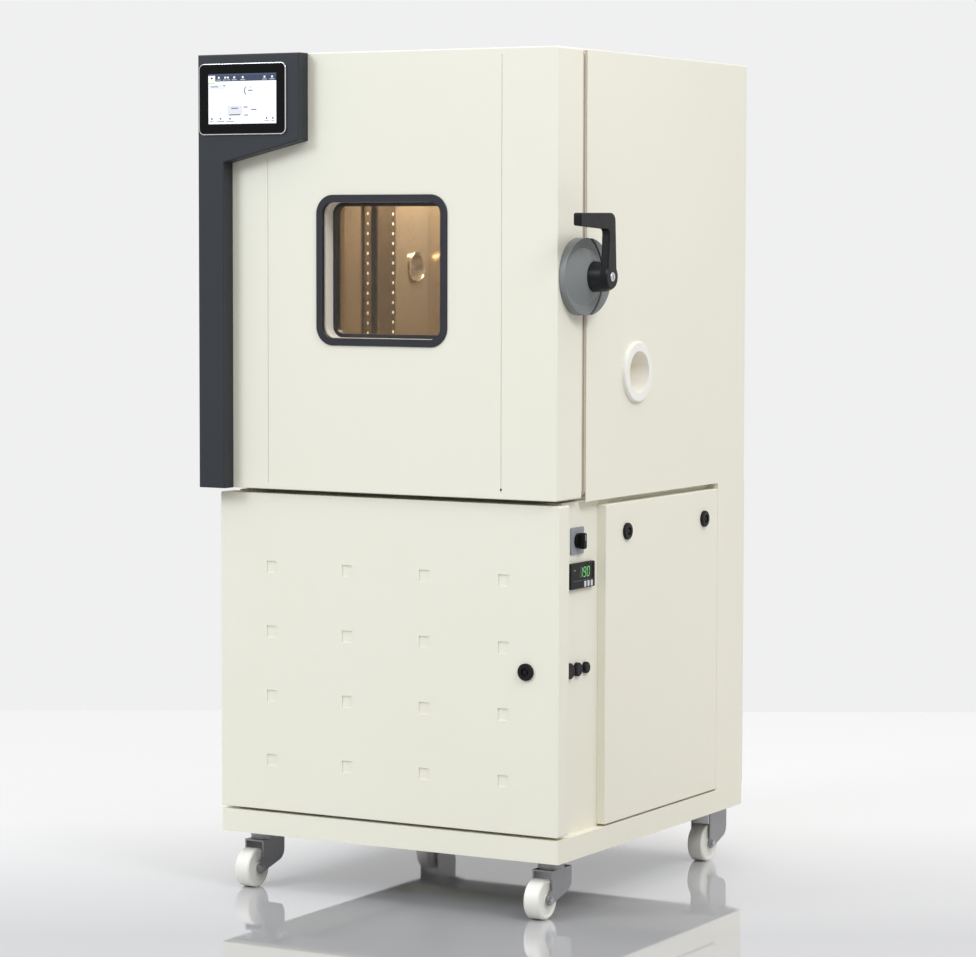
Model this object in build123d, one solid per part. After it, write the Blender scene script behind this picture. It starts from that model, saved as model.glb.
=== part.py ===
# Environmental test chamber on castors: an insulated test space with a glazed door
# and control column, standing on a machine cabinet with lift-off panels.
# While it is built, X = 0 is the middle, Y = 0 the front of the lower panel and
# Z = 0 the floor. Everything is shifted at the end to stand on the middle of its base.
from build123d import *
from math import cos, radians, sin
import os

# Cabinet, overall
body_width = 745.0
body_depth = 796.0
base_height = 44.0
lower_height = 622.0
upper_height = 836.0
upper_front_y = 105.5
edge_radius = 4.0
sheet = 2.0
seat_gap = 0.3          # pieces that lie against each other
run_gap = 0.05          # radial clearance of a shaft in its hole

# Castors
wheel_diameter = 75.0
caster_over = 35.0      # top of the wheel to the underside of the base
wheel_width = 32.0
wheel_edge = 2.5
wheel_recess = 1.5
wheel_rim = 6.5
wheel_hub = 6.0
axle_diameter = 8.0
swivel_trail = 43.0
caster_inset_x = 52.0
front_caster_y = 70.0
rear_axle_inset_y = 77.0
rear_plate_back = 30.0    # plate's middle behind the axle
caster_plate = 80.0
caster_plate_thick = 4.0
fork_sheet = 3.0
fork_gap = 2.5          # wheel to fork leg
fork_boss_radius = 11.0
fork_front = 34.0       # kingpin to the fork's front edge
fork_back = 41.0
fork_heel_radius = 22.0
fork_heel_z = 65.0
fork_crown_drop = 20.0  # base to the fork's crown
race_diameter = 50.0
kingpin_diameter = 10.0

# Lower cabinet
panel_depth = 38.6
panel_rise = 5.5        # base to panel
panel_drop = 2.3        # panel to the underside of the body
recess_depth = 18.0
strip_back_y = 230.0
lip_width = 34.0
lip_y = 40.0
side_panel_front_y = 186.0
side_panel_back_y = 672.0
side_panel_rise = 3.6
side_panel_drop = 11.0
tube_size = 30.0
tube_gap = 2.5          # recess sheet to the tubes
strip_drop = 4.0        # panel's top to the strip behind it
post_front_y = 75.0
corner_rear = 72.0
dimple_pitch_x = 170.3
dimple_pitch_z = 125.0
dimple_size = 22.4
dimple_low_z = 257.0
dimple_depth = 2.0
dimple_rows = 4
vent_count = 9
vent_width = 220.0
vent_height = 8.0
vent_pitch = 22.0
vent_drop = 80.0        # body to the highest slot
rear_panel_gap = 1.0
gland_x = -220.0
gland_rise = 70.0
gland_thread = 20.0
gland_bore = 11.0
gland_nut = 10.0

# Quarter-turn locks
lock_head_diameter = 32.0
lock_head_height = 6.0
lock_body_diameter = 20.0
tongue_width = 12.0
tongue_thick = 3.0
front_lock_x = 304.0
front_lock_z = 464.5
side_lock_inset_y = 65.0
side_lock_z = 709.0
lock_lip_rise = 20.0

# Piano style hinges of the front panel
panel_hinge_y = 50.0
panel_hinge_inset = 9.5
panel_knuckle_diameter = 10.0
panel_knuckle_height = 20.0
panel_hinge_heights = (260.0, 670.0)

# Switch, controller and blanking plugs in the right recess
switch_plate_size = 50.0
switch_y = 100.5
switch_z = 703.0
switch_shaft_diameter = 12.0
knob_diameter = 28.0
knob_grip_width = 12.0
knob_height = 17.0
controller_width = 96.0
controller_height = 48.0
controller_front = 8.0
controller_y = 113.0
controller_z = 637.5
key_width = 7.0
key_height = 11.0
key_pitch = 13.0
key_travel = 1.0
plug_z = 461.8
plug_diameters = (30.0, 26.0, 22.0)
plug_first_y = 69.0
plug_pitch = 33.0
plug_height = 8.0

# Upper body and test space
liner_width = 560.0
liner_height = 600.0
liner_floor_rise = 110.0
liner_depth = 610.0
liner_sheet = 1.5
liner_radius = 15.0
baffle_setback = 80.0
seal_width = 16.0
outer_seal_width = 12.0
outer_seal_inset = 3.0
port_bore = 80.0
port_flange = 115.0
port_proud = 8.0
port_y = 305.5
port_z = 1011.0
small_port_bore = 50.0
small_port_flange = 66.0
small_port_y = 583.0
small_port_z = 1206.0
rail_y0 = 376.0
rail_y1 = 495.0
rail_flange = 35.0
rail_rise = 11.0
rail_sheet = 1.5
rail_stand = 3.5        # flange off the wall, for the brackets' hooks
rail_end = 15.0
bracket_overhang = 45.0
shelf_z = 1000.0
shelf_wires = 13
wire_diameter = 4.0
bar_inset = 20.0        # middle bar's end, clear of the brackets

# Door
door_gap = 20.4         # door to the face of the body
door_thickness = 95.5
door_lift = 7.0
door_sheet = 2.5
groove_x = 255.5
groove_width = 2.0
groove_depth = 1.2
groove_end = 12.0
plug_step = 10.0
plug_margin = 20.0

# Door window
window_z = 1203.0
window_x = -2.5
window_width = 258.0
window_height = 256.0
window_radius = 22.0
window_rim = 14.0
window_proud = 3.0
window_collar = 5.0     # the frame's depth inside the door
window_wall = 3.7
pane_thick = 4.0
window_front_depth = 36.0
window_throat = 7.5     # the inner frame stands in by this much
window_flare = 18.0     # the back of the opening is wider by this on each side

# Control column on the door
column_width = 58.0
column_overhang = 21.5
column_thick = 32.0
column_head_width = 229.0
column_head_height = 165.0
column_slope = 40.0
display_width = 198.0
display_height = 136.0
display_radius = 12.0
display_x = -290.6
display_z = 1527.0
display_proud = 4.0
display_rim = 2.0

# Door hinges
hinge_axis_out = 10.5
hinge_axis_y = 95.0
knuckle_diameter = 16.0
knuckle_height = 34.0
hinge_pin_diameter = 8.0
hinge_heights = (880.0, 1370.0)
hinge_leaf_thick = 4.0

# Door closer on the right side of the door
closer_y = 64.9
closer_z = 1193.9
closer_radius = 71.3
closer_rim = 12.8
closer_back = 34.0
closer_hub_height = 35.4
split_radius = 85.0
split_offset = 40.2
split_gap = 5.0
closer_wall = 3.0
closer_hollow = 9.5
spindle_diameter = 16.0
hub_diameter = 56.4
cap_diameter = 41.5
hub_top = 73.5
lock_button_diameter = 16.8
lever_thick = 16.0
lever_width = 25.0
lever_root_extra = 6.0
grip_reach = 124.5
grip_top = 117.0
grip_bottom = 87.0
grip_end_bottom = 93.0
catch_radius = 53.0
catch_pin_diameter = 8.0
hook_outer = 63.0
hook_thick = 5.0
hook_slot_in = 45.5
hook_slot_out = 59.0

# Machinery
fan_diameter = 180.0
fan_z = 1340.0
fan_shaft_diameter = 10.0
guard_diameter = 150.0
guard_rings = 4
guard_wire = 2.0
motor_diameter = 118.0
motor_setback = 30.0
motor_grip = 16.0
condenser_fan_diameter = 220.0
compressor_diameter = 160.0
compressor_height = 220.0
compressor_x = 150.0
compressor_y = 420.0
compressor_foot = 180.0
condenser_x = 105.0
condenser_width = 330.0
condenser_height = 360.0
condenser_depth = 50.0
condenser_back = 45.0    # behind it, to the cabinet's back
shroud_depth = 30.0
condenser_fan_rise = 195.0
box_width = 240.0
box_height = 420.0
box_x = -180.0
box_front_y = 150.0
box_depth = 150.0
box_rise = 60.0
receiver_diameter = 90.0
receiver_height = 236.0
receiver_x = -200.0
receiver_y = 560.0

# Levels and planes that follow
half = body_width / 2
caster_height = wheel_diameter + caster_over
base_z0 = caster_height
base_z1 = base_z0 + base_height
upper_z0 = base_z1 + lower_height
upper_z1 = upper_z0 + upper_height
recess_x = half - recess_depth
panel_z0 = base_z1 + panel_rise
panel_z1 = upper_z0 - panel_drop
side_z0 = base_z1 + side_panel_rise
side_z1 = upper_z0 - side_panel_drop
door_back_y = upper_front_y - door_gap
door_front_y = door_back_y - door_thickness
door_z0 = upper_z0 + door_lift
door_z1 = upper_z1
column_y = door_front_y - column_thick
liner_z0 = upper_z0 + liner_floor_rise
liner_z1 = liner_z0 + liner_height
liner_back_y = upper_front_y + liner_depth
baffle_y = liner_back_y - baffle_setback
caster_x = half - caster_inset_x
front_axle_y = front_caster_y - swivel_trail
rear_axle_y = body_depth - rear_axle_inset_y
rear_caster_y = rear_axle_y + rear_plate_back
wheel_radius = wheel_diameter / 2
crown_z = caster_height - fork_crown_drop
fan_y = (baffle_y + liner_back_y) / 2
side_lock_ys = (side_panel_front_y + side_lock_inset_y + 20, side_panel_back_y - side_lock_inset_y)
hinge_axis_x = -half - hinge_axis_out
vent_top_z = upper_z0 - vent_drop
gland_z = base_z1 + gland_rise
condenser_y1 = body_depth - condenser_back
condenser_y0 = condenser_y1 - condenser_depth
condenser_fan_z = base_z1 + condenser_fan_rise
panel_hinge_x = -half + panel_hinge_inset

parts = {}


def box(x0, x1, y0, y1, z0, z1):
    size = Box(abs(x1 - x0), abs(y1 - y0), abs(z1 - z0))
    return Pos((x0 + x1) / 2, (y0 + y1) / 2, (z0 + z1) / 2) * size


def along_x(face, x0, x1, y=0.0, z=0.0):
    return extrude(Plane.YZ.offset(x0) * Pos(y, z) * face, x1 - x0)


def along_y(face, y0, y1, x=0.0, z=0.0):
    return extrude(Plane.XZ.offset(-y0) * Pos(x, z) * face, y0 - y1)


def along_z(face, z0, z1, x=0.0, y=0.0):
    return extrude(Plane.XY.offset(z0) * Pos(x, y) * face, z1 - z0)


def rod_x(diameter, x0, x1, y, z):
    return along_x(Circle(diameter / 2), x0, x1, y, z)


def rod_y(diameter, y0, y1, x, z):
    return along_y(Circle(diameter / 2), y0, y1, x, z)


def rod_z(diameter, z0, z1, x, y):
    return along_z(Circle(diameter / 2), z0, z1, x, y)


def polygon(*points):
    return make_face(Polyline(*points, close=True))


def both_sides(solid):
    return Compound([solid, mirror(solid, Plane.YZ)])


# Base and castors

def base_tray():
    plan = RectangleRounded(body_width, body_depth, edge_radius)
    outer = along_z(plan, base_z0, base_z1, 0, body_depth / 2)
    inner_size = (body_width - 2 * sheet, body_depth - 2 * sheet)
    inner = along_z(Rectangle(*inner_size), base_z0 - 1, base_z1 - sheet, 0, body_depth / 2)
    tray = outer - inner
    web = base_z1 - sheet
    for y in (front_caster_y, rear_caster_y):
        y0 = max(sheet, y - caster_plate / 2 - 4)
        y1 = min(body_depth - sheet, y + caster_plate / 2 + 4)
        x = half - sheet
        tray += box(-x, x, y0, y1, base_z0, base_z0 + sheet + 1)
        for wall_y in (y0, y1 - sheet):
            tray += box(-x, x, wall_y, wall_y + sheet, base_z0, web)
    return tray


def caster_plates():
    plates = []
    z0 = base_z0 - caster_plate_thick
    for y in (front_caster_y, rear_caster_y):
        for side in (-1, 1):
            plate = along_z(Rectangle(caster_plate, caster_plate), z0, base_z0, side * caster_x, y)
            if y == front_caster_y:
                plate -= rod_z(kingpin_diameter + 2 * run_gap, z0 - 1, base_z0 + 1, side * caster_x, y)
            plates.append(plate)
    return Compound(plates)


def fork_leg(axle_y, front_y, back_y, top_z):
    boss = Pos(axle_y, wheel_radius) * Circle(fork_boss_radius)
    heel_y = back_y - fork_heel_radius
    heel = Pos(heel_y, fork_heel_z) * Circle(fork_heel_radius)
    arm = make_hull([*boss.edges(), *heel.edges()])
    return arm + polygon((front_y, wheel_radius + fork_boss_radius / 2), (front_y, top_z), (back_y, top_z),
                         (back_y, fork_heel_z), (heel_y, fork_heel_z))


def fork(x, axle_y, front_y, back_y, top_z):
    leg = fork_leg(axle_y, front_y, back_y, top_z)
    inside = wheel_width / 2 + fork_gap
    outside = inside + fork_sheet
    piece = box(x - outside, x + outside, front_y, back_y, top_z - fork_sheet, top_z)
    for x0 in (x - outside, x + inside):
        piece += along_x(leg, x0, x0 + fork_sheet)
    bolt_head = RegularPolygon(axle_diameter * 0.85, 6)
    piece += rod_x(axle_diameter, x - outside, x + outside, axle_y, wheel_radius)
    for x0 in (x + outside, x - outside - axle_diameter / 2):
        piece += along_x(bolt_head, x0, x0 + axle_diameter / 2, axle_y, wheel_radius)
    return piece


def swivel_fork(side):
    x = side * caster_x
    piece = fork(x, front_axle_y, front_caster_y - fork_front, front_caster_y + fork_back, crown_z)
    race_top = base_z0 - caster_plate_thick - seat_gap
    piece += rod_z(race_diameter, crown_z, race_top, x, front_caster_y)
    piece += rod_z(kingpin_diameter, crown_z, base_z0 - 0.5, x, front_caster_y)
    return piece


def fixed_forks():
    top = base_z0 - caster_plate_thick
    reach = caster_plate / 2 - 2
    return both_sides(fork(caster_x, rear_axle_y, rear_caster_y - reach, rear_caster_y + reach, top))


def wheel(x, y):
    r = wheel_radius
    w = wheel_width / 2
    bore = axle_diameter / 2 + run_gap
    # half of the section, from the bore along the side to the tread
    side = [
        (w, bore), (w, bore + wheel_hub), (w - wheel_recess, bore + wheel_hub + wheel_recess),
        (w - wheel_recess, r - wheel_rim - wheel_recess), (w, r - wheel_rim),
        (w, r - wheel_edge), (w - wheel_edge, r),
    ]
    outline = side + [(-across, out) for across, out in reversed(side)]
    section = Plane.XZ * polygon(*outline)
    return Pos(x, y, r) * revolve(section, Axis.X)


# Lower cabinet

def lower_frame():
    # tubes that butt against each other
    x1 = recess_x - sheet - tube_gap
    x0 = x1 - tube_size
    top = upper_z0 - tube_size
    members = []
    for side in (-1, 1):
        members.append(box(side * x0, side * x1, post_front_y, post_front_y + tube_size, base_z1, top))
        members.append(box(side * x0, side * x1, post_front_y, body_depth - sheet, top, upper_z0))
        # lip that the side locks close behind
        members.append(box(side * x1, side * (x1 + sheet), strip_back_y + sheet, side_panel_back_y,
                           side_lock_z + lock_lip_rise, upper_z0))
        # folded rear corner, open to the inside
        outer_x = side * half
        inner_x = side * (half - sheet)
        front_x = side * x1
        rear_x = side * (half - corner_rear)
        y0 = side_panel_back_y
        corner = polygon(
            (front_x, y0), (outer_x, y0), (outer_x, body_depth), (rear_x, body_depth),
            (rear_x, body_depth - sheet), (inner_x, body_depth - sheet),
            (inner_x, y0 + sheet), (front_x, y0 + sheet),
        )
        members.append(along_z(corner, base_z1, upper_z0))
    for y in (post_front_y, body_depth - sheet - tube_size):
        members.append(box(-x0, x0, y, y + tube_size, top, upper_z0))
    strip_z = panel_z1 - strip_drop
    strip_half = recess_x - sheet
    members.append(box(-strip_half, strip_half, lip_y + sheet, post_front_y, strip_z - sheet, strip_z))
    return Compound(members)


def recess_strips():
    lip = recess_x - lip_width
    outline = polygon(
        (lip, lip_y), (recess_x, lip_y), (recess_x, strip_back_y), (recess_x - sheet, strip_back_y),
        (recess_x - sheet, lip_y + sheet), (lip, lip_y + sheet),
    )
    strip = along_z(outline, base_z1, upper_z0)
    return both_sides(strip)


def front_panel():
    outer = along_y(RectangleRounded(body_width, panel_z1 - panel_z0, edge_radius), 0, panel_depth,
                    0, (panel_z0 + panel_z1) / 2)
    outer = fillet(outer.faces().sort_by(Axis.Y)[0].edges(), 1.5)
    inner = box(sheet - half, half - sheet, sheet, panel_depth + 1, panel_z0 + sheet, panel_z1 - sheet)
    panel = outer - inner
    spots = GridLocations(dimple_pitch_x, dimple_pitch_z, 4, dimple_rows)
    middle_z = dimple_low_z + (dimple_rows - 1) / 2 * dimple_pitch_z
    # pressed squares: the metal behind each one is pushed in as far
    pads = []
    stamps = []
    for spot in spots:
        x, z = spot.position.X, middle_z + spot.position.Y
        reach = dimple_size / 2
        stamps.append(box(x - reach, x + reach, 0, dimple_depth, z - reach, z + reach))
        reach += sheet
        pads.append(box(x - reach, x + reach, sheet / 2, dimple_depth + sheet, z - reach, z + reach))
    panel += pads
    panel -= stamps
    panel -= rod_y(lock_body_diameter + 2 * run_gap, -1, sheet + 1, front_lock_x, front_lock_z)
    # welded hinge leaves with the middle knuckles
    r = panel_knuckle_diameter / 2
    for z in panel_hinge_heights:
        h = panel_knuckle_height / 2 - seat_gap
        leaf = box(sheet - half, sheet - half + 3, panel_depth - 14, panel_hinge_y, z - h, z + h)
        knuckle = rod_z(panel_knuckle_diameter, z - h, z + h, panel_hinge_x, panel_hinge_y)
        bridge = box(sheet - half, panel_hinge_x, panel_hinge_y - r, panel_hinge_y, z - h, z + h)
        bore_diameter = panel_knuckle_diameter / 2 + 2 * run_gap
        bore = rod_z(bore_diameter, z - h - 1, z + h + 1, panel_hinge_x, panel_hinge_y)
        panel += leaf + knuckle + bridge - bore
    return panel


def side_panel(side):
    y_mid = (side_panel_front_y + side_panel_back_y) / 2
    width = side_panel_back_y - side_panel_front_y - 2 * seat_gap
    height = side_z1 - side_z0
    x0 = recess_x + seat_gap
    outer = along_x(RectangleRounded(width, height, 3), x0, half, y_mid, (side_z0 + side_z1) / 2)
    outer = fillet(outer.faces().sort_by(Axis.X)[-1].edges(), 1.5)
    inner = along_x(Rectangle(width - 2 * sheet, height - 2 * sheet), x0 - 1, half - sheet,
                    y_mid, (side_z0 + side_z1) / 2)
    panel = outer - inner
    if side > 0:
        for y in side_lock_ys:
            panel -= rod_x(lock_body_diameter + 2 * run_gap, half - sheet - 1, half + 1, y, side_lock_z)
        return panel
    return mirror(panel, Plane.YZ)


def quarter_lock(head_at, body_end, tongue_at, tongue_length):
    # built along +X from the head, the tongue lies along +Y
    head = rod_x(lock_head_diameter, 0, lock_head_height, 0, 0)
    head = chamfer(head.faces().sort_by(Axis.X)[-1].edges(), 1.5)
    head -= rod_x(lock_body_diameter - 4, 2.5, lock_head_height + 1, 0, 0)
    head += along_x(Rectangle(7, 7), 2, lock_head_height - 1, 0, 0)
    piece = head + rod_x(lock_body_diameter, -body_end, 0, 0, 0)
    tip = Pos(tongue_length / 2, 0) * RectangleRounded(tongue_length + tongue_width, tongue_width, 5)
    piece += along_x(tip, -tongue_at - tongue_thick, -tongue_at, 0, 0)
    return Pos(head_at, 0, 0) * piece


def front_lock():
    piece = quarter_lock(0, 50, 44, 37)
    # the head looks to the front and the tongue stands up
    return Pos(front_lock_x, 0, front_lock_z) * Rot(0, 0, -90) * Rot(90, 0, 0) * piece


def side_lock(y):
    piece = quarter_lock(0, 30, 25, 28)
    return Pos(half, y, side_lock_z) * piece


def rear_panel():
    wide = half - corner_rear - rear_panel_gap
    panel = box(-wide, wide, body_depth - sheet, body_depth, base_z1 + 3 * rear_panel_gap,
                upper_z0 - 3 * rear_panel_gap)
    y0, y1 = body_depth - sheet - 1, body_depth + 1
    for row in range(vent_count):
        z = vent_top_z - row * vent_pitch
        panel -= box(condenser_x - vent_width / 2, condenser_x + vent_width / 2, y0, y1,
                     z - vent_height / 2, z + vent_height / 2)
    return panel - rod_y(gland_thread, y0, y1, gland_x, gland_z)


def cable_gland():
    # nut inside, hexagon and dome outside, all on one thread
    inside = body_depth - gland_nut
    hexagon = RegularPolygon(gland_thread * 0.75, 6)
    body = along_y(hexagon, body_depth, body_depth + 8, gland_x, gland_z)
    body += rod_y(gland_thread + 4, body_depth + 8, body_depth + 20, gland_x, gland_z)
    body += rod_y(gland_thread - 2 * seat_gap, inside, body_depth, gland_x, gland_z)
    body += along_y(hexagon, inside, body_depth - sheet, gland_x, gland_z)
    return body - rod_y(gland_bore, inside - 1, body_depth + 21, gland_x, gland_z)


# Switch, controller and plugs

def switch_plate():
    plate = along_x(RectangleRounded(switch_plate_size, switch_plate_size, 3), recess_x, recess_x + 3,
                    switch_y, switch_z)
    return plate - rod_x(switch_shaft_diameter + 2 * run_gap, recess_x - 1, recess_x + 4, switch_y, switch_z)


def switch_knob():
    x = recess_x + 3
    disc_top = x + knob_height / 3
    knob = rod_x(knob_diameter, x + seat_gap, disc_top, switch_y, switch_z)
    grip = along_x(RectangleRounded(knob_grip_width, knob_diameter + 2, 4), disc_top, x + knob_height,
                   switch_y, switch_z)
    grip = chamfer(grip.faces().sort_by(Axis.X)[-1].edges(), 1.5)
    return knob + grip + rod_x(switch_shaft_diameter, x - 3, x + seat_gap, switch_y, switch_z)


def controller():
    x = recess_x
    case = along_x(RectangleRounded(controller_width, controller_height, 2), x, x + controller_front,
                   controller_y, controller_z)
    case = chamfer(case.faces().sort_by(Axis.X)[-1].edges(), 1)
    window = along_x(Rectangle(controller_width - 14, controller_height - 20), x + controller_front - 1,
                     x + controller_front + 1, controller_y, controller_z + 6)
    case -= window
    for y, z in key_places():
        case -= along_x(Rectangle(key_width + 0.6, key_height + 0.6), x + 3, x + controller_front + 1, y, z)
    return case


def key_places():
    y = controller_y + controller_width / 2 - 14.5
    z = controller_z - controller_height / 2 + key_height / 2 + 2.0
    return [(y - (2 - index) * key_pitch, z) for index in range(3)]


def controller_key(index):
    y, z = key_places()[index]
    x = recess_x + 3 + key_travel + seat_gap
    return along_x(RectangleRounded(key_width, key_height, 2), x, recess_x + controller_front + 1.2, y, z)


def blanking_plugs():
    plugs = []
    for index, diameter in enumerate(plug_diameters):
        y = plug_first_y + index * plug_pitch
        plug = rod_x(diameter, recess_x, recess_x + plug_height, y, plug_z)
        plug = chamfer(plug.faces().sort_by(Axis.X)[-1].edges(), 2)
        plugs.append(plug)
    return Compound(plugs)


# Upper body

def upper_casing():
    depth = body_depth - upper_front_y
    y_mid = (body_depth + upper_front_y) / 2
    outer = along_z(RectangleRounded(body_width, depth, edge_radius), upper_z0, upper_z1, 0, y_mid)
    outer = fillet(outer.faces().sort_by(Axis.Z)[-1].edges(), 1.5)
    inner = box(
        sheet - half, half - sheet, upper_front_y - 1, body_depth - sheet,
        upper_z0 + sheet, upper_z1 - sheet)
    casing = outer - inner
    casing -= rod_x(port_bore + 12, half - 5, half + 5, port_y, port_z)
    casing -= rod_x(small_port_bore + 10, -half - 5, 5 - half, small_port_y, small_port_z)
    return casing


def foam():
    block = box(sheet - half, half - sheet, upper_front_y + sheet, body_depth - sheet,
                upper_z0 + sheet, upper_z1 - sheet)
    outside = liner_sheet
    hollow = box(-liner_width / 2 - outside, liner_width / 2 + outside, upper_front_y, liner_back_y + outside,
                 liner_z0 - outside, liner_z1 + outside)
    block -= hollow
    block -= rod_x(port_bore + 12, 0, half, port_y, port_z)
    block -= rod_x(small_port_bore + 10, -half, 0, small_port_y, small_port_z)
    block -= rod_y(fan_shaft_diameter + 14, liner_back_y, body_depth, 0, fan_z)
    block -= rod_y(motor_diameter + 12, liner_back_y + motor_setback - 6, body_depth, 0, fan_z)
    return block


def liner_section(grow):
    return RectangleRounded(liner_width + 2 * grow, liner_height + 2 * grow, liner_radius + grow)


def chamber_liner():
    z = (liner_z0 + liner_z1) / 2
    shell = along_y(liner_section(liner_sheet), upper_front_y, liner_back_y + liner_sheet, 0, z)
    shell -= along_y(liner_section(0), upper_front_y - 1, liner_back_y, 0, z)
    flange = along_y(Rectangle(body_width - 2 * sheet, upper_height - 2 * sheet), upper_front_y,
                     upper_front_y + sheet, 0, (upper_z0 + upper_z1) / 2)
    shell += flange - along_y(liner_section(0), upper_front_y - 1, upper_front_y + 5, 0, z)
    wall = liner_width / 2
    shell -= rod_x(port_bore + 12, wall - 3, wall + 3, port_y, port_z)
    shell -= rod_x(small_port_bore + 10, -wall - 3, 3 - wall, small_port_y, small_port_z)
    shell -= rod_y(fan_shaft_diameter + 4, liner_back_y - 1, liner_back_y + 5, 0, fan_z)
    return shell


def door_seal():
    z = (liner_z0 + liner_z1) / 2
    y0 = door_back_y + seat_gap
    outer = RectangleRounded(liner_width + 2 * seal_width + 20, liner_height + 2 * seal_width + 20, 30)
    inner = RectangleRounded(liner_width + 20, liner_height + 20, 20)
    ring = along_y(outer - inner, y0, upper_front_y, 0, z)
    # second ring near the door's edge
    edge = 2 * outer_seal_inset
    width, height = body_width - edge, door_z1 - door_z0 - edge
    far = RectangleRounded(width, height, edge_radius)
    near = Rectangle(width - 2 * outer_seal_width, height - 2 * outer_seal_width)
    return Compound([ring, along_y(far - near, y0, upper_front_y, 0, door_middle_z())])


def cable_port(side, y, z, bore, flange, wall_gap):
    inside = liner_width / 2 - 2
    outside = half + port_proud
    tube = rod_x(bore + wall_gap - 2 * seat_gap, inside, half, y, z)
    ring = rod_x(flange, half, outside, y, z)
    ring = chamfer(ring.faces().sort_by(Axis.X)[-1].edges(), 2)
    inner_ring = rod_x(flange - 8, inside - 1.5, liner_width / 2, y, z)
    piece = tube + ring + inner_ring - rod_x(bore, inside - 5, outside + 5, y, z)
    return piece if side > 0 else mirror(piece, Plane.YZ)


def air_baffle():
    z = (liner_z0 + liner_z1) / 2
    sheet_form = Rectangle(liner_width - 2 * seat_gap, liner_height - 90)
    plate = along_y(sheet_form, baffle_y, baffle_y + liner_sheet, 0, z)
    plate -= rod_y(guard_diameter, baffle_y - 1, baffle_y + 5, 0, fan_z)
    # guard: rings welded on four bars
    for ring in range(1, guard_rings + 1):
        across = guard_diameter * ring / guard_rings - guard_wire
        wire = Circle(across / 2) - Circle(across / 2 - guard_wire)
        plate += along_y(wire, baffle_y - guard_wire, baffle_y, 0, fan_z)
    for turn in (45, 135):
        bar = Rot(0, 0, turn) * Rectangle(guard_diameter + 16, guard_wire)
        plate += along_y(bar, baffle_y - guard_wire, baffle_y + liner_sheet, 0, fan_z)
    # folded returns to the back wall carry the plate
    for side in (-1, 1):
        x = side * (liner_width / 2 - seat_gap)
        plate += box(min(x, x - side * 20), max(x, x - side * 20), baffle_y + liner_sheet, baffle_y + 3,
                     z - 200, z + 200)
        near, far = sorted((x, x - side * 2))
        plate += box(near, far, baffle_y, liner_back_y - seat_gap, z - 200, z + 200)
    return plate


def circulation_fan():
    hub = rod_y(50, fan_y - 15, fan_y + 15, 0, fan_z)
    disc = rod_y(fan_diameter, fan_y + 12, fan_y + 15, 0, fan_z)
    fan = hub + disc
    blade = Pos(fan_diameter * 0.34, 0, 0) * Rot(0, 0, 22) * Box(fan_diameter * 0.22, 30, 2)
    for turn in range(8):
        fan += Pos(0, fan_y, fan_z) * Rot(0, turn * 45, 0) * blade
    fan += rod_y(fan_shaft_diameter, fan_y + 15, liner_back_y + motor_setback + motor_grip - 1, 0, fan_z)
    return fan


def fan_motor():
    y0 = liner_back_y + motor_setback
    motor = rod_y(motor_diameter, y0, body_depth - sheet - seat_gap, 0, fan_z)
    motor = chamfer(motor.faces().sort_by(Axis.Y)[0].edges(), 5)
    return motor - rod_y(fan_shaft_diameter + 2 * run_gap, y0 - 1, y0 + motor_grip, 0, fan_z)


def evaporator():
    y0 = baffle_y + 22
    y1 = liner_back_y - 4
    block = box(-190, 190, y0, y1, liner_z0 + 60, liner_z0 + 200)
    slots = [Pos(x, (y0 + y1) / 2, liner_z0 + 130) * Box(6, y1 - y0 - 12, 150) for x in range(-176, 180, 32)]
    block -= slots
    for side in (-1, 1):
        block += box(
            side * 190, side * 193, y0, liner_back_y - seat_gap, liner_z0 + 55, liner_z0 + 205)
    return block


def shelf_rails():
    # hat profile: two flanges that the brackets hook into and a raised middle,
    # with folded edges that stand on the liner's wall
    wall = liner_width / 2
    foot = wall - seat_gap
    face = wall - rail_stand
    top = face - rail_rise
    t = rail_sheet
    inner_y0 = rail_y0 + rail_flange
    inner_y1 = rail_y1 - rail_flange
    section = polygon(
        (foot, rail_y0), (face - t, rail_y0), (face - t, inner_y0), (top, inner_y0), (top, inner_y1),
        (face - t, inner_y1), (face - t, rail_y1), (foot, rail_y1), (foot, rail_y1 - t), (face, rail_y1 - t),
        (face, inner_y1 - t), (top + t, inner_y1 - t), (top + t, inner_y0 + t), (face, inner_y0 + t),
        (face, rail_y0 + t), (foot, rail_y0 + t),
    )
    rail = along_z(section, liner_z0 + rail_end, liner_z1 - rail_end)
    outer_bends = [e for e in rail.edges().filter_by(Axis.Z) if abs(e.center().X - top) < 0.01]
    rail = fillet(outer_bends, 3)
    return Compound([rail, mirror(rail, Plane.YZ), *shelf_brackets()])


def wire_shelf():
    # wires welded on top of three bars
    x = liner_width / 2 - rail_stand - rail_rise - 3
    y0 = upper_front_y + 45
    y1 = baffle_y - 15
    d = wire_diameter
    bar = d + 1
    bar_z = shelf_z - (d + bar) / 2
    rods = [rod_x(bar, -x, x, y, bar_z) for y in (y0, y1)]
    rods.append(rod_x(bar, bar_inset - x, x - bar_inset, (y0 + y1) / 2, bar_z))
    step = 2 * (x - d) / (shelf_wires - 1)
    for index in range(shelf_wires):
        rods.append(rod_y(d, y0 - bar, y1 + bar, d - x + index * step, shelf_z))
    return Compound(rods)


def shelf_brackets():
    # angle strips held by the rails, the shelf lies on them
    wall = liner_width / 2
    x1 = wall - rail_stand - rail_rise - seat_gap
    top = shelf_z - wire_diameter / 2 - seat_gap
    y0 = rail_y0 - bracket_overhang
    y1 = rail_y1 + bracket_overhang
    section = polygon((x1, top), (x1 - 14, top), (x1 - 14, top - 1.5), (x1 - 1.5, top - 1.5),
                      (x1 - 1.5, top - 16), (x1, top - 16))
    bracket = along_y(section, y0, y1)
    return [bracket, mirror(bracket, Plane.YZ)]


# Door

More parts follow.
